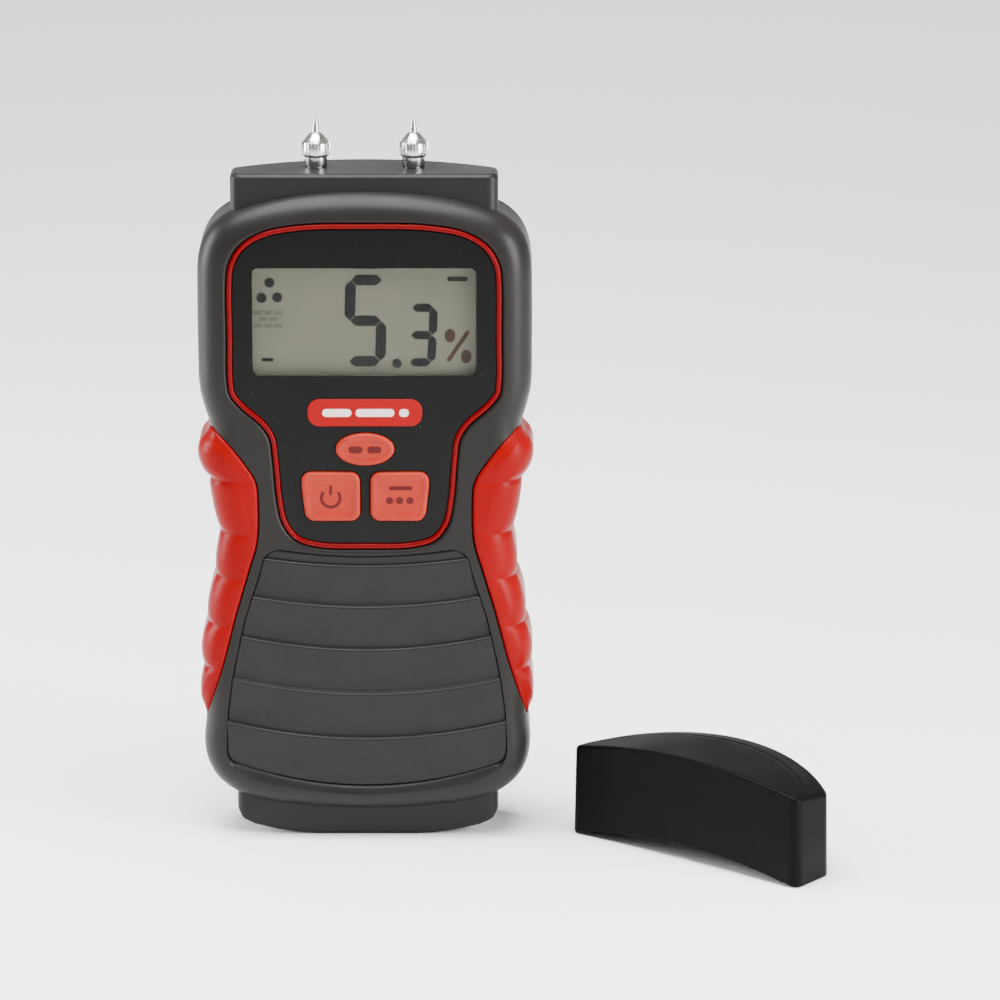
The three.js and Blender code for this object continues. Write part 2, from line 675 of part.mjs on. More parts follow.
// Ribs of the pad: each step is a thin wedge standing on the pad's face.
function palmPad() {
  let pad = plate(padOutline, -PAD.front, -PAD.back);
  for (const [z, rise] of PAD_STEPS) {
    const upper = [];
    const lower = [];
    for (let i = 0; i <= 12; i++) {
      const x = -28 + (56 * i) / 12;
      const lift = rise * (x / 26) ** 2;
      upper.push([x, z + lift]);
      lower.push([x, z + lift - 1.6]);
    }
    const outline = vectors([...upper, ...lower.reverse()]);
    const band = plate(outline, -PAD.front - PAD.rib, -PAD.back - 0.4);
    pad = pad.add(band.intersect(plate(inset(padOutline, 0.6), -20, 0)));
  }
  return pad;
}

put("front_cover", frontCover(), charcoal);
put("rear_cover", rearCover(), charcoal);
put("grip_left", grip(-1), red);
put("grip_right", grip(1), red);
put("palm_pad", palmPad(), softGrey);
put("fascia_trim", plate(trimOutline, -FASCIA.trimFront, -FASCIA.back, [fasciaOutline]), trimRed);
put("fascia", fascia(), black);
put("badge", badge(), red);
put("display_window", plate(windowOutline(0), -FASCIA.front + 0.1, -9.6), clear);
put("lcd_glass", block(-LCD.half, LCD.half, LCD.front, LCD.back, LCD.bottom, LCD.top), lcdGrey);
put("lcd_backlight", behindGlass(STRIP_TOP + 0.3, LCD.top - 0.2), whitePlastic);
put("lcd_connector_strip", behindGlass(LCD.bottom + 0.1, STRIP_TOP), softGrey);
put("lcd_frame", displayFrame(), black);
for (const [name, outline, middle] of KEYS) put(name, key(outline, middle), keyRed);
put("keypad_mat", keypadMat(), softGrey);

put("main_board", mainBoard(), boardGreen);
put("micro_chip", onBoard(CHIP.left, CHIP.right, CHIP.depth, CHIP.bottom, CHIP.top), chipBlack);
put("buzzer", canOnBoard(BUZZER, 24), chipBlack);
put("capacitor", canOnBoard(CAPACITOR, 18), steel);
const { half, depth, bottom, top } = LEAD_CONNECTOR;
put("lead_connector", onBoard(-half, half, depth, bottom, top), whitePlastic);

put("pin_carrier", pinCarrier(), whitePlastic);
for (const [side, word] of [[-1, "left"], [1, "right"]]) {
  put(`pin_post_${word}`, pinPost(side), nickel);
  put(`pin_nut_${word}`, pinNut(side), nickel);
  put(`pin_${word}`, pin(side), steel);
  put(`pin_contact_${word}`, pinContact(side), nickel);
}

put("battery", battery(), chipBlack);
put("battery_terminal_positive", terminal(-1, TERMINAL.stud, 16), nickel);
put("battery_terminal_negative", terminal(1, TERMINAL.socket, 6), nickel);
put("battery_snap", batterySnap(), black);
put("battery_lead_red", batteryLead(-1), wireRed);
put("battery_lead_black", batteryLead(1), chipBlack);
put("battery_door", batteryDoor(), charcoal);
put("battery_foam",
  block(-FOAM.half, FOAM.half, FOAM.front, FOAM.back, FOAM.bottom, FOAM.top), foamGrey);

CASE_SCREWS.forEach((place, i) =>
  put(`case_screw_${i + 1}`, screw(CASE_SCREW, CASE_SCREW.seat, place, 16), steel));
BOARD_SCREWS.forEach((place, i) =>
  put(`board_screw_${i + 1}`, screw(BOARD_SCREW, PARTS_FACE, place, 12), steel));

put("pin_cap", placedCap(), capBlack);

export default meter;
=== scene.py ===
import bmesh
import bpy
import json
import math
import numpy as np
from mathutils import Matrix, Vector
from mathutils.geometry import delaunay_2d_cdt


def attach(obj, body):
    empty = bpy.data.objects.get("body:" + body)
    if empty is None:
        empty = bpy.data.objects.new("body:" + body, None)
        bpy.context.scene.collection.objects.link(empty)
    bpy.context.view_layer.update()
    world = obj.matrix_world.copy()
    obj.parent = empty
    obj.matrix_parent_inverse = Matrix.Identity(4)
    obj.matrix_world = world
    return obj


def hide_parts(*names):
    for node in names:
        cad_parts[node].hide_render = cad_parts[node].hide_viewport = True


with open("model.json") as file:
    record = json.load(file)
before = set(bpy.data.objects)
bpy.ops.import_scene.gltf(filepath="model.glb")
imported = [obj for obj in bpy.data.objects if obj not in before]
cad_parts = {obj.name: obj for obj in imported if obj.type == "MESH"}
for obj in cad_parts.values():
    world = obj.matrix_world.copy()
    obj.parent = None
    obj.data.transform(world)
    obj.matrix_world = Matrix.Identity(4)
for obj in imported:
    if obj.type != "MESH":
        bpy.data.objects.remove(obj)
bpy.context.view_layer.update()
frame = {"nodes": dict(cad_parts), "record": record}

MM = 0.001

# ---- camera ----------------------------------------------
CAMERA_TARGET = (25.2, -10.0, 66.7)  # mm
CAMERA_ELEVATION = 15.0  # degrees
CAMERA_DISTANCE = 1000.0  # mm
CAMERA_LENS = 192.0  # mm on a 36 mm sensor


def add_camera():
    e = math.radians(CAMERA_ELEVATION)
    target = Vector(CAMERA_TARGET) * MM
    place = target + Vector((0, -math.cos(e), math.sin(e))) * CAMERA_DISTANCE * MM
    camera = bpy.data.objects.new("camera", bpy.data.cameras.new("camera"))
    camera.location = place
    camera.rotation_euler = (target - place).to_track_quat("-Z", "Y").to_euler()
    camera.data.lens = CAMERA_LENS
    camera.data.sensor_width = 36
    camera.data.clip_start = 0.01
    bpy.context.scene.collection.objects.link(camera)
    bpy.context.scene.camera = camera


add_camera()

# ---- driving dimensions, in mm ---------------------------
FRONT = 12.0
BACK = 14.0
BACK_RADIUS = 55.0
EDGE = 5.5
SPLIT = 2.0
SEAM = 0.1

BODY_HALF = [
    (0, 5.2), (12, 5.8), (20.5, 7), (25.2, 8.8), (28.6, 11.6), (30.4, 15), (31, 18.8),
    (30.6, 23.5), (30.5, 30), (30.4, 37), (29.3, 45), (27.9, 53), (27.2, 60), (27.9, 66),
    (29.3, 72), (29.6, 76), (29.1, 80.4), (30.1, 84), (31, 88), (31.2, 96), (31.2, 106),
    (31, 112.4), (30.1, 116), (28.5, 118.7), (25.9, 120.9), (21, 122.9), (12, 124.8), (0, 125.5),
]
TRIM_HALF = [
    (0, 57.6), (9, 57.9), (13.2, 59.3), (15.6, 62.5), (16.6, 67), (17.3, 75), (17.9, 79),
    (19.6, 81.6), (23, 84.6), (25.1, 87.2), (25.6, 90), (25.6, 99), (25.6, 108), (25.2, 112),
    (23.2, 115.6), (19, 118.3), (12, 119.7), (0, 120),
]
PAD_SIDE = [
    (26.4, 14.5), (26.5, 20), (26.2, 26), (25, 34), (22.8, 44), (20.2, 52), (18.6, 58),
]
PAD_FLOOR, PAD_FACE, PAD_BACK = -10.5, -11.35, -10.6  # y of the pad's recess, face and back
PANEL_FLOOR, PANEL_BACK, PANEL_FRONT = -10.7, -10.85, -11.6
KEY_BACK, KEY_DISH = -7.4, -12.33
GRIP_EDGE = [
    (28.4, 80.5), (25.6, 78), (22.4, 74), (20.4, 70.5), (20, 65.5), (20.3, 59), (22, 53),
    (24.5, 44.5), (27, 35), (28.9, 29), (30.4, 24.6),
]
GRIP_LOBES = [
    (24.6, 33.8, 0.9), (33.8, 42.4, 0.8), (42.4, 51.7, 0.7), (51.7, 60.4, 0.6),
    (60.4, 70.7, 0.8), (70.7, 80.4, 1.7),
]
LEDGES = [54.6, 46.6, 38.2, 29.5, 20.7]  # heights of the pad's steps, at mid width
KEY_X, KEY_Z, KEY_W, KEY_H, KEY_CORNER = 6.45, 67.9, 11.0, 9.4, 1.8
OVAL_Z, OVAL_W, OVAL_H = 77.0, 11.0, 6.2
WINDOW_Z, WINDOW_W, WINDOW_H = 101.2, 41.4, 20.4
PIN_X, POST_HOLE = 9.1, 1.95
CASE_SCREWS = ((-26, 111.5), (26, 111.5), (-20, 15.5), (20, 15.5))
CAP_PLACE = (65.5, -16.0)
CAP_TURN = -39.0


# ---- outlines --------------------------------------------
def smooth_line(points, count, closed=False):
    """An even run of points along a smooth curve through the given ones."""
    p = np.array(points, float)
    n = len(p)
    pieces = []
    for i in range(n if closed else n - 1):
        p1, p2 = p[i], p[(i + 1) % n]
        p0 = p[i - 1] if closed or i else 2 * p1 - p2
        p3 = p[(i + 2) % n] if closed or i + 2 < n else 2 * p2 - p1
        t1 = np.linalg.norm(p1 - p0) ** 0.5
        t2 = t1 + np.linalg.norm(p2 - p1) ** 0.5
        t3 = t2 + np.linalg.norm(p3 - p2) ** 0.5
        t = np.linspace(t1, t2, 40, endpoint=False)[:, None]
        a1 = (t1 - t) / t1 * p0 + t / t1 * p1
        a2 = (t2 - t) / (t2 - t1) * p1 + (t - t1) / (t2 - t1) * p2
        a3 = (t3 - t) / (t3 - t2) * p2 + (t - t2) / (t3 - t2) * p3
        b1 = (t2 - t) / t2 * a1 + t / t2 * a2
        b2 = (t3 - t) / (t3 - t1) * a2 + (t - t1) / (t3 - t1) * a3
        pieces.append((t2 - t) / (t2 - t1) * b1 + (t - t1) / (t2 - t1) * b2)
    line = np.vstack(pieces + ([p[:1]] if closed else [p[-1:]]))
    return spaced(line, count, closed)


def spaced(line, count, closed=False):
    """The same line with its points evenly spaced."""
    line = np.array(line, float)
    run = np.concatenate([[0], np.cumsum(np.linalg.norm(np.diff(line, axis=0), axis=1))])
    at = np.linspace(0, run[-1], count, endpoint=not closed)
    return np.stack([np.interp(at, run, line[:, k]) for k in range(line.shape[1])], axis=1)


def mirrored(half, count):
    left = [(-x, z) for x, z in half[1:-1]][::-1]
    return smooth_line(list(half) + left, count, closed=True)


def inset(outline, d):
    """The outline, which runs anticlockwise, moved inwards by d."""
    along = np.roll(outline, -1, axis=0) - np.roll(outline, 1, axis=0)
    along /= np.linalg.norm(along, axis=1)[:, None]
    inward = np.stack([-along[:, 1], along[:, 0]], axis=1)
    d = np.broadcast_to(d, (len(outline),))
    return outline + inward * d[:, None]


def rounded_box(width, height, corner, x=0.0, z=0.0, count=120):
    w, h = width / 2 - corner, height / 2 - corner
    points = []
    for k, (sx, sz) in enumerate([(1, -1), (1, 1), (-1, 1), (-1, -1)]):
        for a in np.linspace(-90 + 90 * k, 90 * k, 12):
            a = math.radians(a)
            points.append((x + sx * w + corner * math.cos(a), z + sz * h + corner * math.sin(a)))
    points.append(points[0])
    return spaced(points, count, closed=True)


def ellipse(width, height, x=0.0, z=0.0, count=96):
    a = np.linspace(0, 2 * math.pi, count, endpoint=False)
    return np.stack([x + width / 2 * np.cos(a), z + height / 2 * np.sin(a)], axis=1)


def key_outline(side, grow=0.0, count=120):
    line = rounded_box(KEY_W + 2 * grow, KEY_H + 2 * grow, KEY_CORNER + grow, side * KEY_X, KEY_Z, count)
    low = np.maximum(0, (KEY_Z - line[:, 1]) / KEY_H + 0.2)
    outer = np.maximum(0, (side * line[:, 0] - KEY_X) / KEY_W)
    line[:, 0] -= side * 2.2 * low * outer
    return line


def dome(x, crown=BACK, radius=BACK_RADIUS):
    return crown - radius + np.sqrt(radius**2 - np.asarray(x, float) ** 2)


def collar_section(grow=0.0, count=220, corner=None, end=None):
    """Section of the collars in x and y: flat in front, domed behind. corner and end are the
    radii of its front and back corners."""
    half, front = 24.9 + grow, -8.0 - grow
    radius, centre = 42.3 + grow, 7.8 - 42.3
    corner = corner or max(0.3, 2.0 + grow)
    end = end or max(0.3, 0.8 + grow)
    reach = math.asin((half - end) / (radius - end))
    back = centre + (radius - end) * math.cos(reach)
    points = []
    for a in np.radians(np.linspace(-90, 0, 10)):
        points.append((half - corner + corner * math.cos(a), front + corner + corner * math.sin(a)))
    for a in np.linspace(0, math.pi / 2 - reach, 8):
        points.append((half - end + end * math.cos(a), back + end * math.sin(a)))
    for a in np.linspace(reach, -reach, 40)[1:-1]:
        points.append((radius * math.sin(a), centre + radius * math.cos(a)))
    left = [(-x, y) for x, y in points[:18][::-1]]
    return spaced(points + left + points[:1], count, closed=True)


# ---- meshes ----------------------------------------------
def new_piece(name, verts, faces, material, smooth_angle=32.0):
    mesh = bpy.data.meshes.new(name)
    mesh.from_pydata([tuple(v) for v in np.asarray(verts, float) * MM], [], faces)
    mesh.update()
    piece = bpy.data.objects.new(name, mesh)
    bpy.context.scene.collection.objects.link(piece)
    face_out(mesh)
    shade(piece, smooth_angle)
    if material:
        mesh.materials.append(material)
    return piece


def finish(piece, node, body="meter"):
    """Puts a piece in the place of a CAD node, on the body it moves with."""
    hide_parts(node)
    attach(piece, body)


def face_out(mesh):
    b = bmesh.new()
    b.from_mesh(mesh)
    bmesh.ops.recalc_face_normals(b, faces=b.faces)
    b.to_mesh(mesh)
    b.free()


def shade(piece, smooth_angle=32.0):
    mesh = piece.data
    mesh.shade_smooth()
    mesh.set_sharp_from_angle(angle=math.radians(smooth_angle))


def weigh_normals(piece):
    m = piece.modifiers.new("even_shading", "WEIGHTED_NORMAL")
    m.keep_sharp = True
    m.weight = 60


def stack(rings, cap_first=True, cap_last=True):
    """Faces through rings of equal length, with a flat face at either end."""
    n = len(rings[0])
    verts = np.vstack(rings)
    faces = []
    for r in range(len(rings) - 1):
        a = r * n
        for i in range(n):
            j = (i + 1) % n
            faces.append((a + i, a + j, a + n + j, a + n + i))
    if cap_first:
        faces.append(tuple(range(n - 1, -1, -1)))
    if cap_last:
        last = (len(rings) - 1) * n
        faces.append(tuple(range(last, last + n)))
    return verts, faces


def in_xz(outline, y):
    y = np.broadcast_to(y, (len(outline),))
    return np.stack([outline[:, 0], y, outline[:, 1]], axis=1)


def in_xy(outline, z):
    z = np.broadcast_to(z, (len(outline),))
    return np.stack([outline[:, 0], outline[:, 1], z], axis=1)


def inside(points, polygon):
    x, z = points[:, 0:1], points[:, 1:2]
    x0, z0 = polygon[:, 0][None], polygon[:, 1][None]
    x1, z1 = np.roll(polygon[:, 0], -1)[None], np.roll(polygon[:, 1], -1)[None]
    over = (z0 > z) != (z1 > z)
    cross = (x1 - x0) * (z - z0) / np.where(z1 == z0, 1e-9, z1 - z0) + x0
    return (np.sum(over & (x < cross), axis=1) % 2) == 1


def fill(outline, spacing, height):
    """A surface over an outline in x and z: points, and triangles that first number the outline."""
    lo, hi = outline.min(0), outline.max(0)
    gx = np.arange(lo[0] + spacing / 2, hi[0], spacing)
    gz = np.arange(lo[1] + spacing / 2, hi[1], spacing)
    grid = np.stack(np.meshgrid(gx, gz), axis=-1).reshape(-1, 2)
    grid = grid[inside(grid, outline)]
    near = np.full(len(grid), 1e9)
    for start in range(0, len(outline), 60):
        chunk = outline[start:start + 60]
        gap = np.linalg.norm(grid[:, None] - chunk[None], axis=2).min(1)
        near = np.minimum(near, gap)
    grid = grid[near > spacing * 0.6]
    n = len(outline)
    flat = [Vector(p) for p in np.vstack([outline, grid])]
    edges = [(i, (i + 1) % n) for i in range(n)]
    verts, _, faces, origins, _, _ = delaunay_2d_cdt(flat, edges, [], 1, 1e-7)
    number = [o[0] if o else -1 for o in origins]
    points = np.vstack([outline, grid])
    faces = [tuple(number[i] for i in f) for f in faces]
    return np.stack([points[:, 0], height(points[:, 0], points[:, 1]), points[:, 1]], axis=1), faces


def stack_filled(rings, first=None, last=None, spacing=1.2):
    """Rings in x and z with a curved surface over either end: first and last give y over x and z."""
    verts, faces = stack(rings, cap_first=first is None, cap_last=last is None)
    n = len(rings[0])
    for cap, ring_start in ((first, 0), (last, (len(rings) - 1) * n)):
        if cap is None:
            continue
        outline = verts[ring_start:ring_start + n][:, [0, 2]]
        points, triangles = fill(outline, spacing, cap)
        extra = len(verts)
        verts = np.vstack([verts, points[n:]])
        faces += [tuple(ring_start + i if i < n else extra + i - n for i in f) for f in triangles]
    return verts, faces


def turned(name, profile, material, x, count=64, teeth=None):
    """A piece turned about a vertical line at x, from (radius, z) points."""
    a = np.linspace(0, 2 * math.pi, count, endpoint=False)
    rings = []
    for i, (r, z) in enumerate(profile):
        rr = r + (teeth(i, a) if teeth else 0)
        rings.append(np.stack([x + rr * np.cos(a), rr * np.sin(a), np.full(count, z)], axis=1))
    return new_piece(name, *stack(rings), material)


def cut(piece, *tools):
    """Takes the tools' space out of the piece. The tools are used up."""
    for tool in tools:
        m = piece.modifiers.new("cut", "BOOLEAN")
        m.operation = "DIFFERENCE"
        m.object = tool
        m.solver = "EXACT"
        bpy.context.view_layer.update()
        graph = bpy.context.evaluated_depsgraph_get()
        made = bpy.data.meshes.new_from_object(piece.evaluated_get(graph))
        piece.modifiers.clear()
        old, piece.data = piece.data, made
        bpy.data.meshes.remove(old)
        bpy.data.objects.remove(tool)
    return piece


def carve(piece, *tools):
    cut(piece, *tools)
    shade(piece, 30)
    weigh_normals(piece)


def tool(verts, faces):
    return new_piece("tool", verts, faces, None)


def prism(outline, y0, y1):
    return tool(*stack([in_xz(outline, y0), in_xz(outline, y1)]))


# ---- materials -------------------------------------------
class Look:
    """A procedural finish, put together node by node."""

    def __init__(self, name, color, roughness, metallic=0.0, **uniform):
        self.material = bpy.data.materials.new(name)
        self.material.use_nodes = True
        self.tree = self.material.node_tree
        self.shader = self.tree.nodes["Principled BSDF"]
        self.shader.inputs["Metallic"].default_value = metallic
        for socket, value in uniform.items():
            self.shader.inputs[socket.replace("_", " ")].default_value = value
        self.place = self.node("ShaderNodeTexCoord").outputs["Object"]
        self.color = self.rgb(color)
        self.rough = self.value(roughness)
        self.height = None

    def node(self, kind, **settings):
        made = self.tree.nodes.new(kind)
        for key, value in settings.items():
            setattr(made, key, value)
        return made

    def link(self, a, b):
        self.tree.links.new(a, b)

    def rgb(self, color):
        made = self.node("ShaderNodeRGB")
        made.outputs[0].default_value = (*color, 1)
        return made.outputs[0]

    def value(self, v):
        made = self.node("ShaderNodeValue")
        made.outputs[0].default_value = v
        return made.outputs[0]

    def noise(self, size, detail=3.0, stretch=(1, 1, 1)):
        """Noise whose features are about size mm across."""
        scale = self.node("ShaderNodeMapping")
        scale.inputs["Scale"].default_value = tuple(s / (size * MM) for s in stretch)
        self.link(self.place, scale.inputs["Vector"])
        made = self.node("ShaderNodeTexNoise")
        made.inputs["Scale"].default_value = 1.0
        made.inputs["Detail"].default_value = detail
        self.link(scale.outputs[0], made.inputs["Vector"])
        return made.outputs["Fac"]

    def cells(self, size):
        made = self.node("ShaderNodeTexVoronoi", feature="F1")
        made.inputs["Scale"].default_value = 1 / (size * MM)
        self.link(self.place, made.inputs["Vector"])
        return made.outputs["Distance"]

    def ramp(self, source, low, high, a=0.0, b=1.0):
        made = self.node("ShaderNodeMapRange")
        for key, v in (("From Min", low), ("From Max", high), ("To Min", a), ("To Max", b)):
            made.inputs[key].default_value = v
        self.link(source, made.inputs["Value"])
        return made.outputs[0]

    def math(self, operation, a, b):
        made = self.node("ShaderNodeMath", operation=operation)
        for socket, v in zip(made.inputs, (a, b)):
            if isinstance(v, (int, float)):
                socket.default_value = v
            else:
                self.link(v, socket)
        return made.outputs[0]

    def mix(self, amount, color):
        """Lays another colour over the present one by an amount from 0 to 1."""
        made = self.node("ShaderNodeMix", data_type="RGBA")
        self.link(amount, made.inputs["Factor"])
        self.link(self.color, made.inputs["A"])
        made.inputs["B"].default_value = (*color, 1)
        self.color = made.outputs["Result"]
        return self

    def tint(self, source, low=0.9, high=1.1):
        """Makes the colour a little darker and lighter."""
        made = self.node("ShaderNodeHueSaturation")
        self.link(self.ramp(source, 0.3, 0.7, low, high), made.inputs["Value"])
        self.link(self.color, made.inputs["Color"])
        self.color = made.outputs[0]
        return self

    def vary_roughness(self, source, amount):
        self.rough = self.math("ADD", self.rough, self.ramp(source, 0.3, 0.7, -amount, amount))
        return self

    def bump(self, source, depth):
        """Adds relief of about depth mm."""
        part = self.math("MULTIPLY", source, depth * MM)
        self.height = part if self.height is None else self.math("ADD", self.height, part)
        return self

    def done(self):
        self.link(self.color, self.shader.inputs["Base Color"])
        self.link(self.rough, self.shader.inputs["Roughness"])
        if self.height is not None:
            made = self.node("ShaderNodeBump")
            made.inputs["Distance"].default_value = 1.0
            made.inputs["Strength"].default_value = 1.0
            self.link(self.height, made.inputs["Height"])
            self.link(made.outputs[0], self.shader.inputs["Normal"])
        return self.material


def moulded(name, color, roughness, grain=0.35, depth=0.012, wear=0.12, **uniform):
    """Moulded plastic with a fine spark-eroded grain, rubbed smoother in patches."""
    look = Look(name, color, roughness, **uniform)
    rubbed = look.noise(14, 4)
    look.tint(look.noise(22, 3), 1 - wear / 2, 1 + wear / 2)
    look.vary_roughness(rubbed, 0.07)
    specks = look.ramp(look.noise(0.5, 2), 0.66, 0.74, 0, 0.10)
    look.mix(specks, tuple(min(1, c * 2 + 0.02) for c in color))
    scratches = look.ramp(look.noise(1.0, 3, (0.12, 0.12, 1.6)), 0.70, 0.76, 0, 1)
    look.bump(look.noise(grain, 2), depth)
    look.bump(scratches, -depth * 0.35)
    return look.done()


def polished(name, color, roughness, **uniform):
    """Glossy plastic with faint ripple, hairline scratches and a little dust."""
    look = Look(name, color, roughness, **uniform)
    look.vary_roughness(look.noise(9, 4), 0.05)
    look.bump(look.noise(6, 1), 0.012)
    hair = look.ramp(look.noise(1.2, 2, (1.4, 0.1, 0.1)), 0.72, 0.75, 0, 1)
    look.bump(hair, -0.0015)
    dust = look.ramp(look.noise(0.35, 1), 0.76, 0.80, 0, 0.10)
    look.mix(dust, (0.5, 0.5, 0.5))
    return look.done()


def rubber(name, color, roughness, grain=0.22, depth=0.010, **uniform):
    look = Look(name, color, roughness, **uniform)
    look.tint(look.noise(12, 3), 0.93, 1.07)
    look.vary_roughness(look.noise(5, 4), 0.08)
    look.bump(look.noise(grain, 2), depth)
    lint = look.ramp(look.noise(0.4, 1), 0.75, 0.81, 0, 0.03)
    look.mix(lint, (0.6, 0.58, 0.56))
    return look.done()


def metal(name, color, roughness, brushed=(1, 1, 6)):
    look = Look(name, color, roughness, 1.0)
    look.vary_roughness(look.noise(1.5, 4), 0.08)
    look.tint(look.noise(2.2, 3), 0.88, 1.06)
    look.bump(look.noise(0.25, 2, brushed), 0.003)
    return look.done()


def board_look():
    look = Look("board_green", (0.012, 0.10, 0.035), 0.35, Coat_Weight=0.3)
    tracks = look.ramp(look.noise(1.6, 0, (1, 1, 0.4)), 0.50, 0.53, 0, 0.7)
    look.mix(tracks, (0.03, 0.19, 0.06))
    look.bump(tracks, 0.03)
    look.bump(look.noise(0.3, 2), 0.004)
    look.vary_roughness(look.noise(4, 3), 0.06)
    return look.done()


def wrap_look():
    """Printed metal wrap of a block battery: dark, with a copper-coloured band and no lettering."""
    look = Look("battery_wrap", (0.012, 0.012, 0.014), 0.28, 0.6, Coat_Weight=0.4)
    height = look.node("ShaderNodeSeparateXYZ")
    look.link(look.place, height.inputs[0])
    band = look.ramp(height.outputs["Z"], 0.0465, 0.0466, 0, 1)
    look.mix(band, (0.50, 0.20, 0.06))
    look.vary_roughness(look.noise(6, 4), 0.08)
    look.bump(look.noise(8, 3), 0.05)
    look.bump(look.noise(0.4, 2), 0.004)
    return look.done()


def foam_look():
    look = Look("foam_grey", (0.09, 0.09, 0.10), 0.95)
    pore_pits_and_shade = look.cells(0.5)
    # painted shade: the colour goes darker (0.6) in the pore pits, where the bump sinks in, and lighter
    # (1.2) on the cell walls
    look.tint(pore_pits_and_shade, 0.6, 1.2)
    look.bump(pore_pits_and_shade, 0.25)
    look.bump(look.noise(0.2, 3), 0.05)
    return look.done()


def clear_look():
    """Clear acrylic: a thin glossy pane that lets the display show."""
    look = Look("clear_pane", (0.94, 0.96, 0.95), 0.04, IOR=1.2, Transmission_Weight=1.0)
    look.vary_roughness(look.noise(7, 4), 0.02)
    hair = look.ramp(look.noise(1.2, 2, (1.4, 0.1, 0.1)), 0.73, 0.75, 0, 1)
    look.bump(hair, -0.001)
    look.bump(look.noise(20, 1), 0.01)
    return look.done()


def display_look():
    look = Look("display_grey", (0.112, 0.105, 0.076), 0.5, Specular_IOR_Level=0.2)
    look.tint(look.noise(16, 2), 0.95, 1.05)
    look.bump(look.noise(0.15, 2), 0.003)
    look.vary_roughness(look.noise(5, 3), 0.05)
    return look.done()


def key_look():
    look = Look(
        "key_rubber", (0.26, 0.017, 0.009), 0.42,
        Subsurface_Weight=0.3, Subsurface_Scale=0.0010, Specular_IOR_Level=0.14,
    )
    look.shader.inputs["Subsurface Radius"].default_value = (1.0, 0.35, 0.2)
    look.tint(look.noise(4, 3), 0.94, 1.06)
    look.vary_roughness(look.noise(2, 4), 0.08)
    look.bump(look.noise(0.18, 2), 0.006)
    return look.done()


LOOKS = {
    "housing": moulded("housing_grey", (0.0098, 0.0089, 0.0085), 0.40, Specular_IOR_Level=0.12),
    "collar": moulded("collar_black", (0.0080, 0.0075, 0.0085), 0.42, Specular_IOR_Level=0.14),
    "pad": rubber("pad_grey", (0.0088, 0.0081, 0.0078), 0.42, 0.3, 0.010, Specular_IOR_Level=0.13),
    "grip": rubber("grip_red", (0.165, 0.0003, 0.0013), 0.34, 0.3, 0.006, Specular_IOR_Level=0.055),
    "panel": polished("panel_black", (0.0026, 0.0025, 0.0025), 0.16, Specular_IOR_Level=0.10),
    "trim": polished("trim_red", (0.100, 0.0003, 0.0014), 0.30, Specular_IOR_Level=0.07),
    "badge": polished("badge_red", (0.21, 0.0008, 0.0026), 0.28, Specular_IOR_Level=0.08),
    "badge_mark": moulded("badge_pale", (0.60, 0.50, 0.48), 0.45),
    "key": key_look(),
    "key_print": rubber("key_print", (0.055, 0.0008, 0.001), 0.45, Specular_IOR_Level=0.2),
    "window": clear_look(),
    "display": display_look(),
    "segment": moulded("segment_black", (0.002, 0.0022, 0.002), 0.6, wear=0.05, Specular_IOR_Level=0.05),
    "segment_brown": moulded("segment_brown", (0.035, 0.014, 0.009), 0.6, Specular_IOR_Level=0.05),
    "segment_off": moulded("segment_faint", (0.085, 0.080, 0.062), 0.6, Specular_IOR_Level=0.05),
    "light_plastic": moulded("light_plastic", (0.62, 0.62, 0.58), 0.45),
    "black_plastic": moulded("black_plastic", (0.02, 0.02, 0.021), 0.45),
    "mat": rubber("mat_grey", (0.10, 0.10, 0.10), 0.6),
    "board": board_look(),
    "nickel": metal("nickel_plate", (0.72, 0.71, 0.68), 0.20),
    "steel": metal("steel_plain", (0.50, 0.50, 0.51), 0.30, (6, 6, 1)),
    "battery_can": wrap_look(),
    "foam": foam_look(),
    "wire_red": rubber("wire_red", (0.50, 0.015, 0.012), 0.4),
    "wire_black": rubber("wire_black", (0.015, 0.015, 0.016), 0.4),
    "cap": moulded("cap_black", (0.0024, 0.0024, 0.0023), 0.44, 0.5, 0.012, Specular_IOR_Level=0.035),
}


# ---- housing ---------------------------------------------
BODY = mirrored(BODY_HALF, 420)
RIGHT = BODY[(BODY[:, 0] > 0) & (BODY[:, 1] > 11) & (BODY[:, 1] < 119)]
RIGHT = RIGHT[np.argsort(RIGHT[:, 1])]


def body_half(z):
    return np.interp(z, RIGHT[:, 1], RIGHT[:, 0])


def fillet_steps(radius, count):
    """(inset, drop) pairs round a quarter circle, from the straight side to the face."""
    return [
        (radius * (1 - math.cos(a)), radius * (1 - math.sin(a)))
        for a in np.linspace(0, math.pi / 2, count + 1)
    ]


def front_rings():
    edge = SPLIT - SEAM
    rings = [in_xz(inset(BODY, 0.30), edge), in_xz(inset(BODY, 0.10), edge - 0.08)]
    rings.append(in_xz(BODY, edge - 0.28))
    for d, drop in fillet_steps(EDGE, 12):
        rings.append(in_xz(inset(BODY, d), -FRONT + drop))
    return rings


def back_radius(w):
    """Rounding of the back's edge, as far as there is room for it where the half width is w."""
    return np.clip(dome(w) - SPLIT - 0.7, 0.8, EDGE)


def back_rings():
    edge = SPLIT + SEAM
    rings = [in_xz(inset(BODY, 0.30), edge), in_xz(inset(BODY, 0.10), edge + 0.08)]
    rings.append(in_xz(BODY, edge + 0.28))
    for d, drop in fillet_steps(1.0, 12):
        line = inset(BODY, d * back_radius(BODY[:, 0]))
        rings.append(in_xz(line, dome(line[:, 0]) - drop * back_radius(BODY[:, 0])))
    return rings


def cavity_tool():
    d = 2.2 + 2.3 * np.clip((86 - BODY[:, 1]) / 4, 0, 1)
    line = inset(BODY, d)[::3]
    core = inset(line, 2.5)
    rings = [in_xz(inset(line, 0.8), -9.45), in_xz(line, -8.6), in_xz(line, dome(line[:, 0]) - 3.4),
             in_xz(core, dome(core[:, 0]) - 2.1)]
    return tool(*stack_filled(rings, last=lambda x, z: dome(x) - 2.1, spacing=4.0))


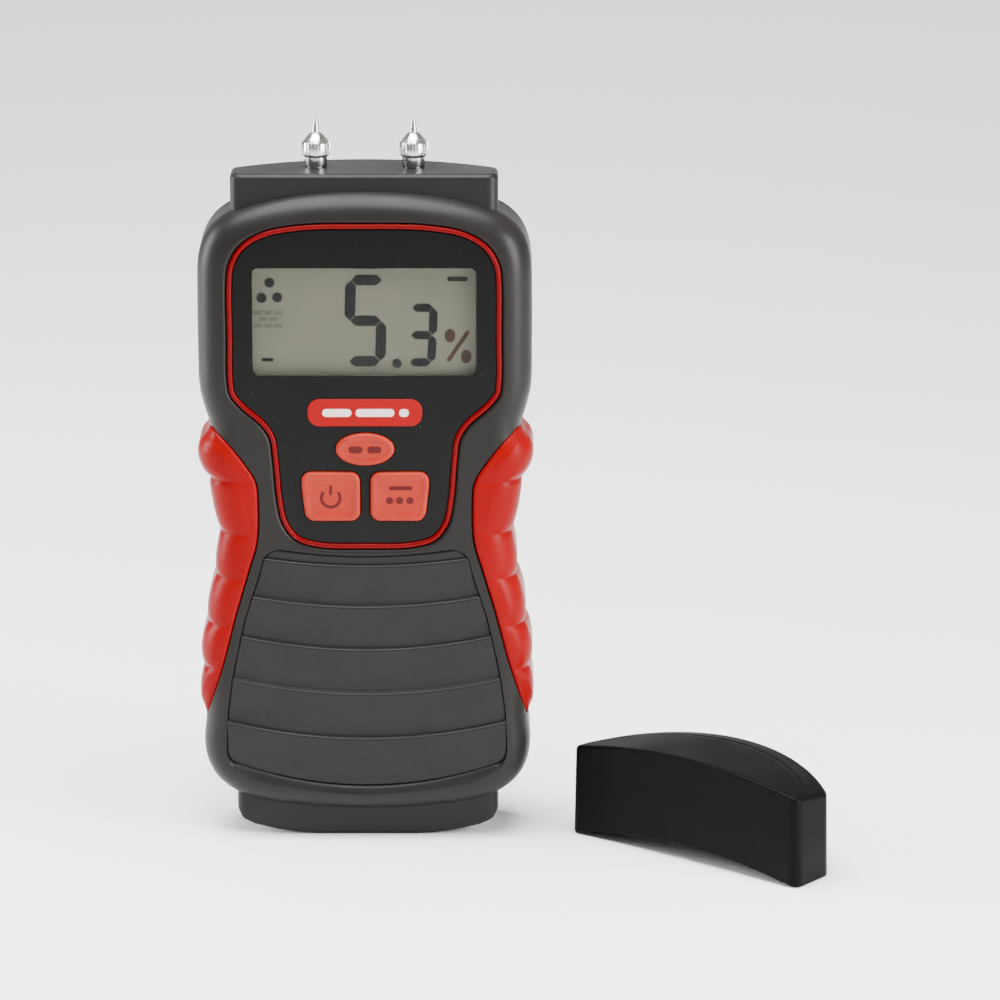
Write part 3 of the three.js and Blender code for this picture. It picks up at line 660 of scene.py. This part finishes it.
def recess_tool(outline, floor, lip):
    """A cutter with a flared mouth, so that the edge it leaves is rounded over."""
    rings = [in_xz(outline, floor)]
    for a in np.linspace(0, math.pi / 2, 9):
        out = lip * (1 - math.cos(a))
        rings.append(in_xz(inset(outline, -out), -FRONT + np.minimum(lip, 1.4) * (1 - math.sin(a))))
    rings.append(in_xz(inset(outline, -lip - 0.02), -16))
    return tool(*stack(rings))


def pad_outline(grow, count):
    """Edge of the pad, anticlockwise from the bottom left corner, wider by grow all round."""
    rows = PAD.rows(grow)
    return spaced(np.vstack([rows, rows[:1]]), count, closed=True)


class PAD:
    """The ribbed pad's own grid: v runs up it and u runs across it, from -1 to 1."""

    bottom, top = 10.9, 56.2
    corner = 2.6

    @staticmethod
    def rise(middle):
        return np.interp(middle, [10.9, 20.7, 38.2, 56.2], [4.3, 3.3, 2.6, 1.3])

    @staticmethod
    def half(middle, grow=0.0):
        end = middle + PAD.rise(middle)
        side = np.array(PAD_SIDE)
        w = np.interp(end, side[:, 1], side[:, 0]) + grow
        edge = np.minimum(middle - PAD.bottom, PAD.top - middle) + grow
        c = PAD.corner
        m = np.clip(c - edge, 0, c)
        return w - (c - np.sqrt(c * c - m * m))

    @staticmethod
    def rows(grow):
        u = np.linspace(-1, 1, 60)
        middles = np.linspace(PAD.bottom - grow, PAD.top + grow, 120)

        def at(middle, uu):
            x = uu * PAD.half(middle, grow)
            return np.stack([x, middle + PAD.rise(middle) * uu**2], axis=-1)

        low = at(middles[0], u)
        high = at(middles[-1], u[::-1])
        right = np.array([at(m, np.array([1.0]))[0] for m in middles])
        left = np.array([at(m, np.array([-1.0]))[0] for m in middles[::-1]])
        return np.vstack([low[:-1], right[:-1], high[:-1], left[:-1]])


def post_tool(side):
    ring = ellipse(2 * POST_HOLE, 2 * POST_HOLE, side * PIN_X, 0, 40)
    return tool(*stack([in_xy(ring, 120), in_xy(ring, 140)]))


def openings(window_gap, key_gap, back, count=120):
    """Cutters for the window and the three keys, each wider than its piece by a gap."""
    lines = [
        rounded_box(WINDOW_W + 2 * window_gap, WINDOW_H + 2 * window_gap, 0.8 + window_gap, 0, WINDOW_Z),
        key_outline(-1, key_gap, count),
        key_outline(1, key_gap, count),
        ellipse(OVAL_W + 2 * key_gap, OVAL_H + 2 * key_gap, 0, OVAL_Z),
    ]
    return [prism(line, -13, back) for line in lines]


def front_cover():
    """The shell on the display side, with the wide ledge that runs under the pad's lower edge."""
    piece = new_piece("front_cover_shell", *stack(front_rings()), LOOKS["housing"])
    pad_edge = pad_outline(0.05, 420)
    pad_lip = 0.20 + 3.2 * np.clip((16.4 - pad_edge[:, 1]) / 2.4, 0, 1)
    tools = [
        cavity_tool(),
        recess_tool(mirrored(TRIM_HALF, 320), PANEL_FLOOR, 0.75),
        recess_tool(pad_edge, PAD_FLOOR, pad_lip),
        *openings(0.2, 0.25, -8, 80),
        grip_tool(1), grip_tool(-1),
    ]
    carve(piece, *tools)
    finish(piece, "front_cover")


def screw_tool(x, z, radius, start):
    line = ellipse(2 * radius, 2 * radius, x, z, 40)
    return prism(line, start, 20)


def rear_cover():
    verts, faces = stack_filled(back_rings(), last=lambda x, z: dome(x), spacing=1.6)
    piece = new_piece("rear_cover_shell", verts, faces, LOOKS["housing"])
    cavity = cavity_tool()
    cut(cavity, *[prism(ellipse(7.6, 7.6, x, z, 40), SPLIT, 20) for x, z in CASE_SCREWS])
    tools = [cavity, prism(door_outline(0.25), 3, 20)]
    for x, z in CASE_SCREWS:
        tools += [screw_tool(x, z, 2.8, 3.9), screw_tool(x, z, 1.6, 0)]
    carve(piece, *tools, grip_tool(1), grip_tool(-1))
    finish(piece, "rear_cover")


def collar():
    """The dark block that carries the pins and that the cap slips over."""
    rings = [in_xy(collar_section(), 119.0)]
    for d, drop in fillet_steps(1.1, 7):
        rings.append(in_xy(collar_section(-d), 128.4 - drop))
    piece = new_piece("pin_collar", *stack(rings), LOOKS["collar"])
    inside_line = collar_section(-2.2, 120)
    hollow = tool(*stack([in_xy(inside_line, 110), in_xy(inside_line, 126.4)]))
    carve(piece, hollow, post_tool(1), post_tool(-1))
    finish(piece, "front_cover")


def foot_drop(x):
    """Underside of the foot: flat in the middle, rising towards its ends."""
    x = np.abs(x)
    return np.interp(x, [0, 9.5, 13, 17, 21.7, 24.0, 24.9], [0, 0, 0.22, 0.8, 1.9, 3.0, 4.4])


def foot():
    rings = []
    for d, drop in [(2.2, 0), (1.4, 0)] + fillet_steps(0.9, 6)[::-1]:
        line = collar_section(-d)
        base = foot_drop(line[:, 0] / max(0.2, 1 - d / 60))
        rings.append(in_xy(line, base + drop))
    rings.append(in_xy(collar_section(), 7.0))
    rings.append(in_xy(collar_section(), 10.0))
    piece = new_piece("foot_block", *stack(rings), LOOKS["housing"])
    weigh_normals(piece)
    finish(piece, "front_cover")


# ---- grips -----------------------------------------------
GRIP_LINE = smooth_line(GRIP_EDGE, 200)[::-1]
GRIP_LOW, GRIP_HIGH = 24.6, 80.5


def grip_edge(z):
    return np.interp(z, GRIP_LINE[:, 1], GRIP_LINE[:, 0])


def lobe(z):
    z = np.asarray(z, float)
    out = np.zeros_like(z)
    for low, high, bulge in GRIP_LOBES:
        t = np.clip((z - low) / (high - low), 0, 1)
        out = np.maximum(out, bulge * np.sin(math.pi * t) ** 0.7)
    return out


def notch(z):
    out = np.zeros_like(np.asarray(z, float))
    for low, _, _ in GRIP_LOBES[1:]:
        out = np.maximum(out, np.exp(-(((z - low) / 0.75) ** 2)))
    return out


def grip_path(z, count=90):
    """Run of (x, y, inset) points round the side of the housing at height z, from the front edge
    of the grip to its back edge."""
    w = float(body_half(z))
    inner = min(float(grip_edge(z)), w - 0.3)
    front = edge_bend(inner, w, EDGE)
    back = edge_bend(inner, w, float(back_radius(w)))
    points = [(x, -FRONT + drop, depth) for x, drop, depth in front]
    points += [(x, float(dome(x)) - drop, depth) for x, drop, depth in back[::-1]]
    return spaced(points, count)


def edge_bend(inner, w, radius):
    """Rounding of the housing's edge from x = inner to x = w: x, drop and depth of each point."""
    flat_end = w - radius
    start = math.asin(max(0.0, inner - flat_end) / radius)
    bend = [(x, 0.0, w - x) for x in np.linspace(inner, flat_end, 14)[:-1] if inner < flat_end]
    for a in np.linspace(start, math.pi / 2, 40):
        out = radius * math.sin(a)
        bend.append((flat_end + out, radius * (1 - math.cos(a)), radius - out))
    return bend


def grip_surface(offset, overshoot=0.0, rows=230, columns=90):
    """Grid of points over a grip's outside: offset(z, inset, edge) says how far out they stand."""
    levels = np.linspace(GRIP_LOW - overshoot, GRIP_HIGH + overshoot, rows)
    grid = []
    for z in levels:
        path = grip_path(np.clip(z, GRIP_LOW, GRIP_HIGH), columns)
        xy = path[:, :2]
        along = np.gradient(xy, axis=0)
        along /= np.linalg.norm(along, axis=1)[:, None] + 1e-12
        normal = np.stack([along[:, 1], -along[:, 0]], axis=1)
        run = np.concatenate([[0], np.cumsum(np.linalg.norm(np.diff(xy, axis=0), axis=1))])
        edge = np.minimum(run, run[-1] - run)
        ends = min(z - GRIP_LOW, GRIP_HIGH - z)
        out = offset(z, path[:, 2], np.minimum(edge, ends))
        point = xy + normal * out[:, None]
        grid.append(np.stack([point[:, 0], point[:, 1], np.full(columns, z)], axis=1))
    return np.array(grid)


def closed_sheet(outer, inner):
    """A solid between two grids of the same shape."""
    rows, columns = outer.shape[:2]
    verts = np.vstack([outer.reshape(-1, 3), inner.reshape(-1, 3)])
    base = rows * columns
    number = np.arange(base).reshape(rows, columns)
    faces = []
    for low, high in zip(number[:-1].tolist(), number[1:].tolist()):
        for a, b, d, e in zip(low, low[1:], high, high[1:]):
            faces += [(a, b, e, d), (base + a, base + d, base + e, base + b)]
    rim = np.concatenate([number[0], number[1:, -1], number[-1, -2::-1], number[-2:0:-1, 0]])
    for a, b in zip(rim.tolist(), np.roll(rim, -1).tolist()):
        faces.append((a, base + a, base + b, b))
    return verts, faces


GRIP_STAND = 0.22  # how far the grips stand out of the housing
GRIP_LIP = 0.8
NOTCH_DEPTH = 0.18


def grip_offset(z, depth, edge):
    side = np.clip(1 - depth / EDGE, 0, 1)
    swell = lobe(z) * (side + 0.12 * (1 - side))
    lip = np.clip(edge, 0, GRIP_LIP)
    roll = GRIP_LIP - np.sqrt(GRIP_LIP**2 - (GRIP_LIP - lip) ** 2)
    fade = np.clip(edge / 2.5, 0, 1)
    return GRIP_STAND + swell * fade - roll - NOTCH_DEPTH * notch(z) * fade * (0.3 + 0.7 * side)


def mirror_x(verts, side):
    verts = np.array(verts)
    verts[:, 0] *= side
    return verts


def grip(side, word):
    outer = grip_surface(grip_offset)
    inner = grip_surface(lambda z, depth, edge: np.full(len(depth), -2.0))
    verts, faces = closed_sheet(outer, inner)
    name = "grip_" + word
    piece = new_piece(name + "_rubber", mirror_x(verts, side), faces, LOOKS["grip"], 50)
    finish(piece, name)


def grip_tool(side):
    """The room in the housing that a grip takes: its outline, down to a core 2.2 mm in."""
    gap, depth = 0.15, 2.2
    z = np.linspace(GRIP_LOW - gap, GRIP_HIGH + gap, 120)
    x = np.minimum(grip_edge(z), body_half(z) - 0.3) - gap
    outline = np.vstack([np.stack([x, z], axis=1), [[40, z[-1]], [40, z[0]]]])
    core = inset(BODY, depth)[::2]
    half = BODY[::2, 0]
    rings = []
    for d, drop in fillet_steps(EDGE - depth, 8)[::-1]:
        rings.append(in_xz(inset(core, d), -FRONT + depth + drop))
    for d, drop in fillet_steps(1.0, 8):
        radius = np.maximum(back_radius(half) - depth, 0.2)
        line = inset(core, d * radius)
        rings.append(in_xz(line, dome(line[:, 0]) - depth - drop * radius))
    filled = stack_filled(rings, last=lambda x, z: dome(x) - depth, spacing=4.0)
    return cut(prism(outline * (side, 1), -20, 20), tool(*filled))


# ---- pad -------------------------------------------------
def pad_height(middle):
    """How far the pad stands out, against the height at mid width: each step is proud at its top
    and slopes back in below it."""
    crest, slope = 0.95, 0.6
    out = np.zeros_like(middle)
    levels = LEDGES + [PAD.bottom - 0.6]
    for top, bottom in zip(levels[:-1], levels[1:]):
        t = (middle - bottom) / (top - bottom)
        band = (t >= 0) & (t < 1)
        rise = crest * (0.04 + 0.96 * np.clip(t, 0, 1) ** 1.2)
        round_off = np.clip((top - middle) / slope, 0, 1)
        out = np.where(band, rise * np.sqrt(1 - (1 - round_off) ** 2), out)
    above = middle >= LEDGES[0]
    t = np.clip((middle - LEDGES[0]) / 1.6, 0, 1)
    return np.where(above, 0.30 + 0.25 * t, out)


def palm_pad():
    rows, columns = 420, 121
    middle = np.linspace(PAD.bottom, PAD.top, rows)
    u = np.linspace(-1, 1, columns)
    u = np.sign(u) * (1 - (1 - np.abs(u)) ** 1.25)
    half = PAD.half(middle)
    x = half[:, None] * u[None]
    z = middle[:, None] + PAD.rise(middle)[:, None] * u[None] ** 2
    edge_x = half[:, None] - np.abs(x)
    edge_z = np.minimum(middle - PAD.bottom, PAD.top - middle)[:, None]
    r = 0.3
    edge = np.clip(np.minimum(edge_x, edge_z), 0, r)
    roll = r - np.sqrt(r * r - (r - edge) ** 2)
    sink = 0.35 * np.clip(1 - (middle - PAD.bottom) / 5.0, 0, 1)[:, None] ** 2
    y = PAD_FACE - pad_height(middle)[:, None] + roll + sink
    outer = np.stack([x, y, z], axis=-1)
    inner = outer.copy()
    inner[..., 1] = PAD_BACK
    verts, faces = closed_sheet(outer, inner)
    piece = new_piece("palm_pad_rubber", verts, faces, LOOKS["pad"], 45)
    finish(piece, "palm_pad")


# ---- panel -----------------------------------------------
def fascia_trim():
    line = inset(mirrored(TRIM_HALF, 420), 0.12)
    profile = [
        (0, PANEL_BACK), (0, -11.62), (0.07, -11.85), (0.24, -11.98), (0.48, -12.02),
        (0.72, -11.97), (0.88, -11.84), (0.94, -11.62), (0.94, PANEL_BACK),
    ]
    rings = [in_xz(inset(line, d), y) for d, y in profile]
    verts, faces = stack(rings + rings[:1], False, False)
    n = len(verts) - len(line)
    faces = [tuple(i % n for i in f) for f in faces]
    piece = new_piece("fascia_trim_ring", verts[:n], faces, LOOKS["trim"], 45)
    finish(piece, "fascia_trim")


def fascia():
    line = inset(mirrored(TRIM_HALF, 420), 1.14)
    profile = [(0, PANEL_BACK), (0, -11.4), (0.06, -11.54), (0.2, PANEL_FRONT)]
    rings = [in_xz(inset(line, d), y) for d, y in profile]
    piece = new_piece("fascia_panel", *stack(rings), LOOKS["panel"])
    carve(piece, *openings(0.1, 0.2, -9))
    finish(piece, "fascia")


def soft_plate(name, line, back, front, edge, material, steps=5):
    """A plate in x and z with a rounded front edge."""
    rings = [in_xz(line, back)]
    for d, drop in fillet_steps(edge, steps):
        rings.append(in_xz(inset(line, d), front + drop))
    piece = new_piece(name, *stack(rings), material)
    weigh_normals(piece)
    return piece


def display_window():
    line = rounded_box(WINDOW_W, WINDOW_H, 0.8, 0, WINDOW_Z)
    piece = soft_plate("display_window_pane", line, -10.4, -11.55, 0.12, LOOKS["window"])
    finish(piece, "display_window")


def badge():
    line = rounded_box(21.4, 5.2, 2.2, 0, 84)
    piece = soft_plate("badge_plate", line, -11.62, -11.93, 0.18, LOOKS["badge"])
    finish(piece, "badge")
    for number, (x, width) in enumerate(((-5.2, 5.4), (1.9, 7.2), (7.3, 1.8))):
        bar = rounded_box(width, 1.5, 0.7, x, 84)
        mark = soft_plate(f"badge_bar_{number + 1}", bar, -11.90, -11.97, 0.05, LOOKS["badge_mark"], 2)
        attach(mark, "meter")


def key_piece(name, line, node, body):
    """A soft key with a raised rim round a shallow dish."""
    rings = [in_xz(line, KEY_BACK), in_xz(line, -12.0)]
    for d, y in ((0.10, -12.30), (0.32, -12.50), (0.62, -12.58), (0.95, -12.52), (1.25, -12.40)):
        rings.append(in_xz(inset(line, d), y))
    middle = line.mean(0)
    for share, y in ((0.72, -12.36), (0.5, KEY_DISH), (0.2, KEY_DISH)):
        rings.append(in_xz(middle + (line - middle) * share, y))
    piece = new_piece(name, *stack(rings), LOOKS["key"], 45)
    weigh_normals(piece)
    finish(piece, node, body)


def print_mark(name, line, body):
    piece = soft_plate(name, line, KEY_DISH + 0.02, KEY_DISH - 0.05, 0.03, LOOKS["key_print"], 2)
    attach(piece, body)


def arc_band(x, z, radius, width, start, stop, count=40):
    """Outline of a curved bar, anticlockwise."""
    a = np.radians(np.linspace(start, stop, count))
    way = np.stack([np.cos(a), np.sin(a)], axis=1)
    return (x, z) + np.vstack([(radius + width / 2) * way, (radius - width / 2) * way[::-1]])


def keys():
    key_piece("power_key_rubber", key_outline(-1, 0, 160), "power_button", "power_key")
    key_piece("mode_key_rubber", key_outline(1, 0, 160), "mode_button", "mode_key")
    key_piece("hold_key_rubber", ellipse(OVAL_W, OVAL_H, 0, OVAL_Z, 160), "hold_button", "hold_key")
    z = KEY_Z
    print_mark("power_arc", arc_band(-KEY_X, z - 0.2, 1.75, 0.55, -220, 40), "power_key")
    print_mark("power_bar", rounded_box(0.55, 1.9, 0.25, -KEY_X, z + 1.3, 40), "power_key")
    print_mark("mode_roof", rounded_box(4.4, 0.75, 0.35, KEY_X + 0.2, z + 1.7, 40), "mode_key")
    for k in range(3):
        dot = ellipse(1.35, 1.35, KEY_X + 1.9 * (k - 1), z - 0.7, 40)
        print_mark(f"mode_dot_{k + 1}", dot, "mode_key")
    for k, side in enumerate((-1, 1)):
        print_mark(f"hold_bar_{k + 1}", rounded_box(2.6, 1.3, 0.6, side * 1.75, OVAL_Z, 40), "hold_key")


# ---- display ---------------------------------------------
LCD_FRONT = -9.1


def segment_bar(name, x0, z0, x1, z1, width, look="segment"):
    """A straight segment with mitred ends."""
    a, b = np.array([x0, z0], float), np.array([x1, z1], float)
    along = (b - a) / np.linalg.norm(b - a)
    across = np.array([along[1], -along[0]]) * width / 2
    tip = along * width / 2
    line = np.array([a, a + tip + across, b - tip + across, b, b - tip - across, a + tip - across])
    if area(line) < 0:
        line = line[::-1]
    flat_mark(name, line, look)


def area(line):
    x, z = line[:, 0], line[:, 1]
    return 0.5 * np.sum(x * np.roll(z, -1) - np.roll(x, -1) * z)


def flat_mark(name, line, look="segment"):
    verts, faces = stack([in_xz(line, LCD_FRONT - 0.02), in_xz(line, LCD_FRONT - 0.10)])
    piece = new_piece(name, verts, faces, LOOKS[look])
    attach(piece, "meter")


def digit(name, x, z, wide, tall, lit, width, lean=0.5):
    """A seven-segment figure: x, z is its middle, lit the letters a to g of the dark bars."""
    w, h = wide / 2, tall / 2
    spots = {
        "a": (-w, h, w, h), "b": (w, h, w, 0), "c": (w, 0, w, -h), "d": (w, -h, -w, -h),
        "e": (-w, -h, -w, 0), "f": (-w, 0, -w, h), "g": (-w, 0, w, 0),
    }
    for letter, (x0, z0, x1, z1) in spots.items():
        if letter not in lit:
            continue
        gap = width * 0.05
        dx, dz = np.sign(x1 - x0) * gap, np.sign(z1 - z0) * gap
        x0, x1 = x0 + lean * z0 / tall + dx, x1 + lean * z1 / tall - dx
        segment_bar(f"{name}_{letter}", x + x0, z + z0 + dz, x + x1, z + z1 - dz, width)


def display():
    digit("digit_large", 0.2, 101.05, 5.9, 15.5, "afgcd", 2.0)
    digit("digit_small", 10.6, 98.3, 4.1, 10.4, "abgcd", 1.6)
    flat_mark("decimal_point", ellipse(1.8, 1.8, 6.0, 92.9, 24))
    percent()
    for k, (x, z) in enumerate(((-17.6, 108.3), (-19.1, 105.4), (-16.2, 105.5))):
        flat_mark(f"log_{k + 1}", ellipse(1.9, 1.9, x, z, 28))
    for row in range(3):
        for k in range(2 - row % 2 + 1):
            x = -17.9 + (k - 0.5 * (2 - row % 2)) * 1.9
            brick = rounded_box(1.6, 0.9, 0.15, x, 102.6 - row * 1.25, 20)
            flat_mark(f"brick_{row}_{k}", brick, "segment_off")
    flat_mark("dash_low", rounded_box(2.2, 0.7, 0.2, -18.1, 93.6, 20))
    flat_mark("dash_high", rounded_box(3.8, 0.9, 0.3, 17.3, 109.0, 20))


def percent():
    look = "segment_brown"
    for k, (x, z) in enumerate(((15.9, 98.2), (18.9, 94.2))):
        flat_mark(f"percent_ring_{k + 1}", ellipse(2.0, 2.6, x, z, 28), look)
        flat_mark(f"percent_hole_{k + 1}", ellipse(0.8, 1.2, x, z, 20), look)
    segment_bar("percent_slash", 15.4, 93.2, 19.4, 99.2, 0.8, look)


# ---- pins ------------------------------------------------
# Profiles as (radius, z), from the lower end.
POST_PROFILE = [
    (1.1, 120.3), (2.7, 120.3), (2.7, 121.3), (1.78, 121.4), (1.78, 130.7), (1.6, 130.95),
    (0.85, 130.95), (0.85, 125), (0.85, 124.6),
]
NUT_PROFILE = [
    (1.92, 128.62), (2.05, 128.6), (2.12, 128.75), (2.12, 130.3), (2.3, 130.45), (2.58, 130.75),
    (2.62, 130.9), (2.62, 132.9), (2.5, 133.15), (1.9, 133.85), (1.35, 134.5), (1.1, 134.75),
    (0.8, 134.85), (0.78, 134.6), (0.78, 131.5), (1.92, 131.3),
]
NEEDLE_PROFILE = [
    (0.3, 124.3), (0.66, 124.5), (0.68, 135.2), (0.60, 135.8), (0.40, 137.0), (0.18, 138.0),
    (0.06, 138.32), (0.015, 138.38),
]
KNURLS = 26  # ridges round a nut, on the points 5 to 8 of its profile


def knurl(i, a):
    return 0.06 * np.sign(np.cos(KNURLS * a)) - 0.05 if 5 <= i <= 8 else 0.0


def pins():
    for side, word in ((-1, "left"), (1, "right")):
        x = side * PIN_X
        piece = turned(f"pin_post_{word}_turned", POST_PROFILE, LOOKS["nickel"], x)
        finish(piece, f"pin_post_{word}")
        name = f"pin_nut_{word}"
        piece = turned(name + "_knurled", NUT_PROFILE, LOOKS["nickel"], x, count=8 * KNURLS, teeth=knurl)
        finish(piece, name)
        piece = turned(f"pin_{word}_needle", NEEDLE_PROFILE, LOOKS["steel"], x, count=40)
        finish(piece, f"pin_{word}")


# ---- back ------------------------------------------------
DOOR = {"half": 15.0, "bottom": 14.0, "top": 64.0, "corner": 2.5}
DOOR_TAB = np.array([(10.35, 12.9), (10.8, 12.9), (10.8, 15.3), (12.2, 15.3), (12.2, 16.9), (10.35, 16.9)])


def case_screws():
    """Cross-head screws that hold the two covers together."""
    profile = [(0.6, -7.0), (1.4, -6.2), (1.4, 4.0), (2.45, 4.0), (2.6, 4.15), (2.6, 4.9), (2.5, 5.15),
               (2.2, 5.38), (1.7, 5.52), (1.0, 5.58)]
    for number, (x, z) in enumerate(CASE_SCREWS):
        rings = [in_xz(ellipse(2 * r, 2 * r, x, z, 56), y) for r, y in profile]
        name = f"case_screw_{number + 1}"
        piece = new_piece(name + "_turned", *stack(rings), LOOKS["steel"], 40)
        bars = [prism(rounded_box(w, h, 0.3, x, z, 40), 4.4, 6) for w, h in ((3.1, 0.75), (0.75, 3.1))]
        cut(piece, *bars)
        shade(piece, 35)
        finish(piece, name)


def door_outline(grow=0.0, count=260):
    width = 2 * (DOOR["half"] + grow)
    height = DOOR["top"] - DOOR["bottom"] + 2 * grow
    z = (DOOR["top"] + DOOR["bottom"]) / 2
    return rounded_box(width, height, DOOR["corner"] + grow, 0, z, count)


def door_height(x, z):
    """Back face of the battery door, with a thumb rest of raised bars near its top."""
    bars = 0.0
    for level in (53.0, 55.4, 57.8, 60.2):
        across = np.clip((7.5 - np.abs(x)) / 0.8, 0, 1)
        bars = bars + 0.38 * np.clip(1 - ((z - level) / 0.62) ** 2, 0, 1) ** 0.6 * across
    wide = np.clip(1 - (x / 9.2) ** 2, 0, 1) ** 0.5
    high = np.clip(1 - ((z - 56.6) / 6.0) ** 2, 0, 1) ** 0.5
    return dome(x) - 0.02 - 0.55 * wide * high + bars


def battery_door():
    line = door_outline()
    rings = [in_xz(line, dome(line[:, 0]) - 2.0)]
    for d, drop in fillet_steps(0.4, 4):
        moved = inset(line, d)
        rings.append(in_xz(moved, dome(moved[:, 0]) - 0.02 - drop))
    verts, faces = stack_filled(rings, first=lambda x, z: dome(x) - 2.0, last=door_height, spacing=0.42)
    piece = new_piece("battery_door_plate", verts, faces, LOOKS["housing"], 40)
    finish(piece, "battery_door", "rear_door")
    for side, word in ((-1, "left"), (1, "right")):
        x = side * 8.0
        rings = [np.insert(DOOR_TAB, 0, x + k, axis=1) for k in (-1.9, 1.9)]
        tab = new_piece(f"door_tab_{word}", *stack(rings), LOOKS["housing"])
        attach(tab, "rear_door")


# ---- cap -------------------------------------------------
CAP_WALL, CAP_HEIGHT, CAP_ARCH, CAP_HALF = 1.5, 17.2, 2.9, 26.6
CAP_CORNER, CAP_END = 1.8, 2.6  # radii of the upright front and back corners


def cap_arch(x):
    return CAP_ARCH * (1 - (np.asarray(x) / CAP_HALF) ** 2)


def pin_cap():
    base = collar_section(0.2 + CAP_WALL, 320, CAP_CORNER, CAP_END)
    draft = 0.26
    rings = []
    for d, z in ((1.5, CAP_HEIGHT - 1.6), (1.5, 1.2), (1.42, 0.25), (1.25, 0.06), (0.9, 0.0),
                 (0.5, 0.0), (0.25, 0.03), (0.08, 0.15), (0.0, 0.45), (draft / 2, CAP_HEIGHT / 2)):
        line = inset(base, d)
        rings.append(in_xy(line, cap_arch(line[:, 0]) + z))
    steps = [(draft + d, drop) for d, drop in fillet_steps(0.75, 8)]
    steps += [(d, 0.0) for d in np.arange(1.2, 6.4, 0.2)]
    for d, drop in steps:
        line = inset(base, d)
        if d > 1.5:
            line = collar_section(0.2 + CAP_WALL - d, 320, max(0.3, CAP_CORNER - d), max(0.3, CAP_END - d))
        rings.append(in_xy(line, cap_arch(line[:, 0]) + CAP_HEIGHT - drop - cap_slope(line)))
    verts, faces = stack(rings, False, False)
    n = len(rings[0])
    last = (len(rings) - 1) * n
    faces += cross_rows(last, n) + [f[::-1] for f in cross_rows(0, n)]
    turn = math.radians(CAP_TURN)
    c, s = math.cos(turn), math.sin(turn)
    verts[:, :2] = verts[:, :2] @ np.array([(c, s), (-s, c)]) + CAP_PLACE
    verts[:, 2] += 0.03
    piece = new_piece("pin_cap_shell", verts, faces, LOOKS["cap"], 40)
    finish(piece, "pin_cap", "loose_cap")


def cap_slope(line):
    """The top falls away towards the domed side and both ends, outside a curved crease."""
    x, y = line[:, 0], line[:, 1]
    share = np.clip(1 - (x / 26.3) ** 2, 0, 1)
    beyond = y - (-9.3 + 14.2 * share**0.62)
    fall = 0.13 * np.clip(beyond, 0, None)
    groove = 0.16 * np.exp(-((beyond / 0.45) ** 2)) * np.clip(share * 12, 0, 1)
    return fall + groove


def cross_rows(start, n):
    """Closes a ring by strips across its long way, so that it follows the arch."""
    faces = []
    k = n // 2
    for i in range(k - 1):
        a, b = start + i, start + i + 1
        c, d = start + (n - 1 - i), start + (n - 2 - i)
        if len({a, b, c, d}) == 4:
            faces.append((a, b, d, c))
        elif len({a, b, c}) == 3:
            faces.append((a, b, c))
    return faces


# ---- inner pieces ----------------------------------------
def dress_inner_pieces():
    slots = {s["node"]: s["material_slot"] for s in frame["record"]["subparts"]}
    for name, node in frame["nodes"].items():
        look = LOOKS.get(slots[name])
        node.data.materials.clear()
        node.data.materials.append(look)
        shade(node, 30)


# ---- stage -----------------------------------------------
def floor():
    """A pale sweep: a floor that bends up into a backdrop."""
    start, bend = 1500.0, 500.0
    line = [(-1800.0, 0.0), (start, 0.0)]
    turn = np.linspace(0.05, math.pi / 2, 24)
    line += [(start + bend * math.sin(a), bend * (1 - math.cos(a))) for a in turn]
    line.append((start + bend, 1600.0))
    verts = [(x, y, z) for x in (-1800.0, 1800.0) for y, z in line]
    n = len(line)
    faces = [(i, i + 1, n + i + 1, n + i) for i in range(n - 1)]
    look = Look("studio_paper", (0.93, 0.93, 0.925), 0.85)
    look.tint(look.noise(60, 3), 0.995, 1.005)
    look.bump(look.noise(0.8, 2), 0.01)
    piece = new_piece("studio_floor", verts, faces, look.done(), 60)


def lamp(name, place, target, size, power):
    light = bpy.data.lights.new(name, "AREA")
    light.shape = "RECTANGLE"
    light.size, light.size_y = size[0] * MM, size[1] * MM
    light.energy = power
    holder = bpy.data.objects.new(name, light)
    holder.location = Vector(place) * MM
    aim = Vector(target) * MM - holder.location
    holder.rotation_euler = aim.to_track_quat("-Z", "Y").to_euler()
    bpy.context.scene.collection.objects.link(holder)


def lights():
    world = bpy.data.worlds.new("studio")
    world.use_nodes = True
    world.node_tree.nodes["Background"].inputs["Color"].default_value = (1, 1, 1, 1)
    world.node_tree.nodes["Background"].inputs["Strength"].default_value = 0.32
    bpy.context.scene.world = world
    middle = (10, 0, 60)
    lamp("top_box", (-40, -90, 640), middle, (520, 420), 16.0)
    lamp("right_front", (473, -290, 190), (30, 0, 50), (220, 360), 8.0)
    lamp("left_side", (-520, 60, 190), middle, (200, 360), 6.0)
    lamp("back_wash", (25, 700, 700), (25, 1500, 0), (1400, 300), 10.0)


def build():
    front_cover()
    rear_cover()
    collar()
    foot()
    for side, word in ((-1, "left"), (1, "right")):
        grip(side, word)
    palm_pad()
    fascia_trim()
    fascia()
    display_window()
    badge()
    keys()
    display()
    pins()
    case_screws()
    battery_door()
    pin_cap()
    dress_inner_pieces()
    floor()
    lights()


build()
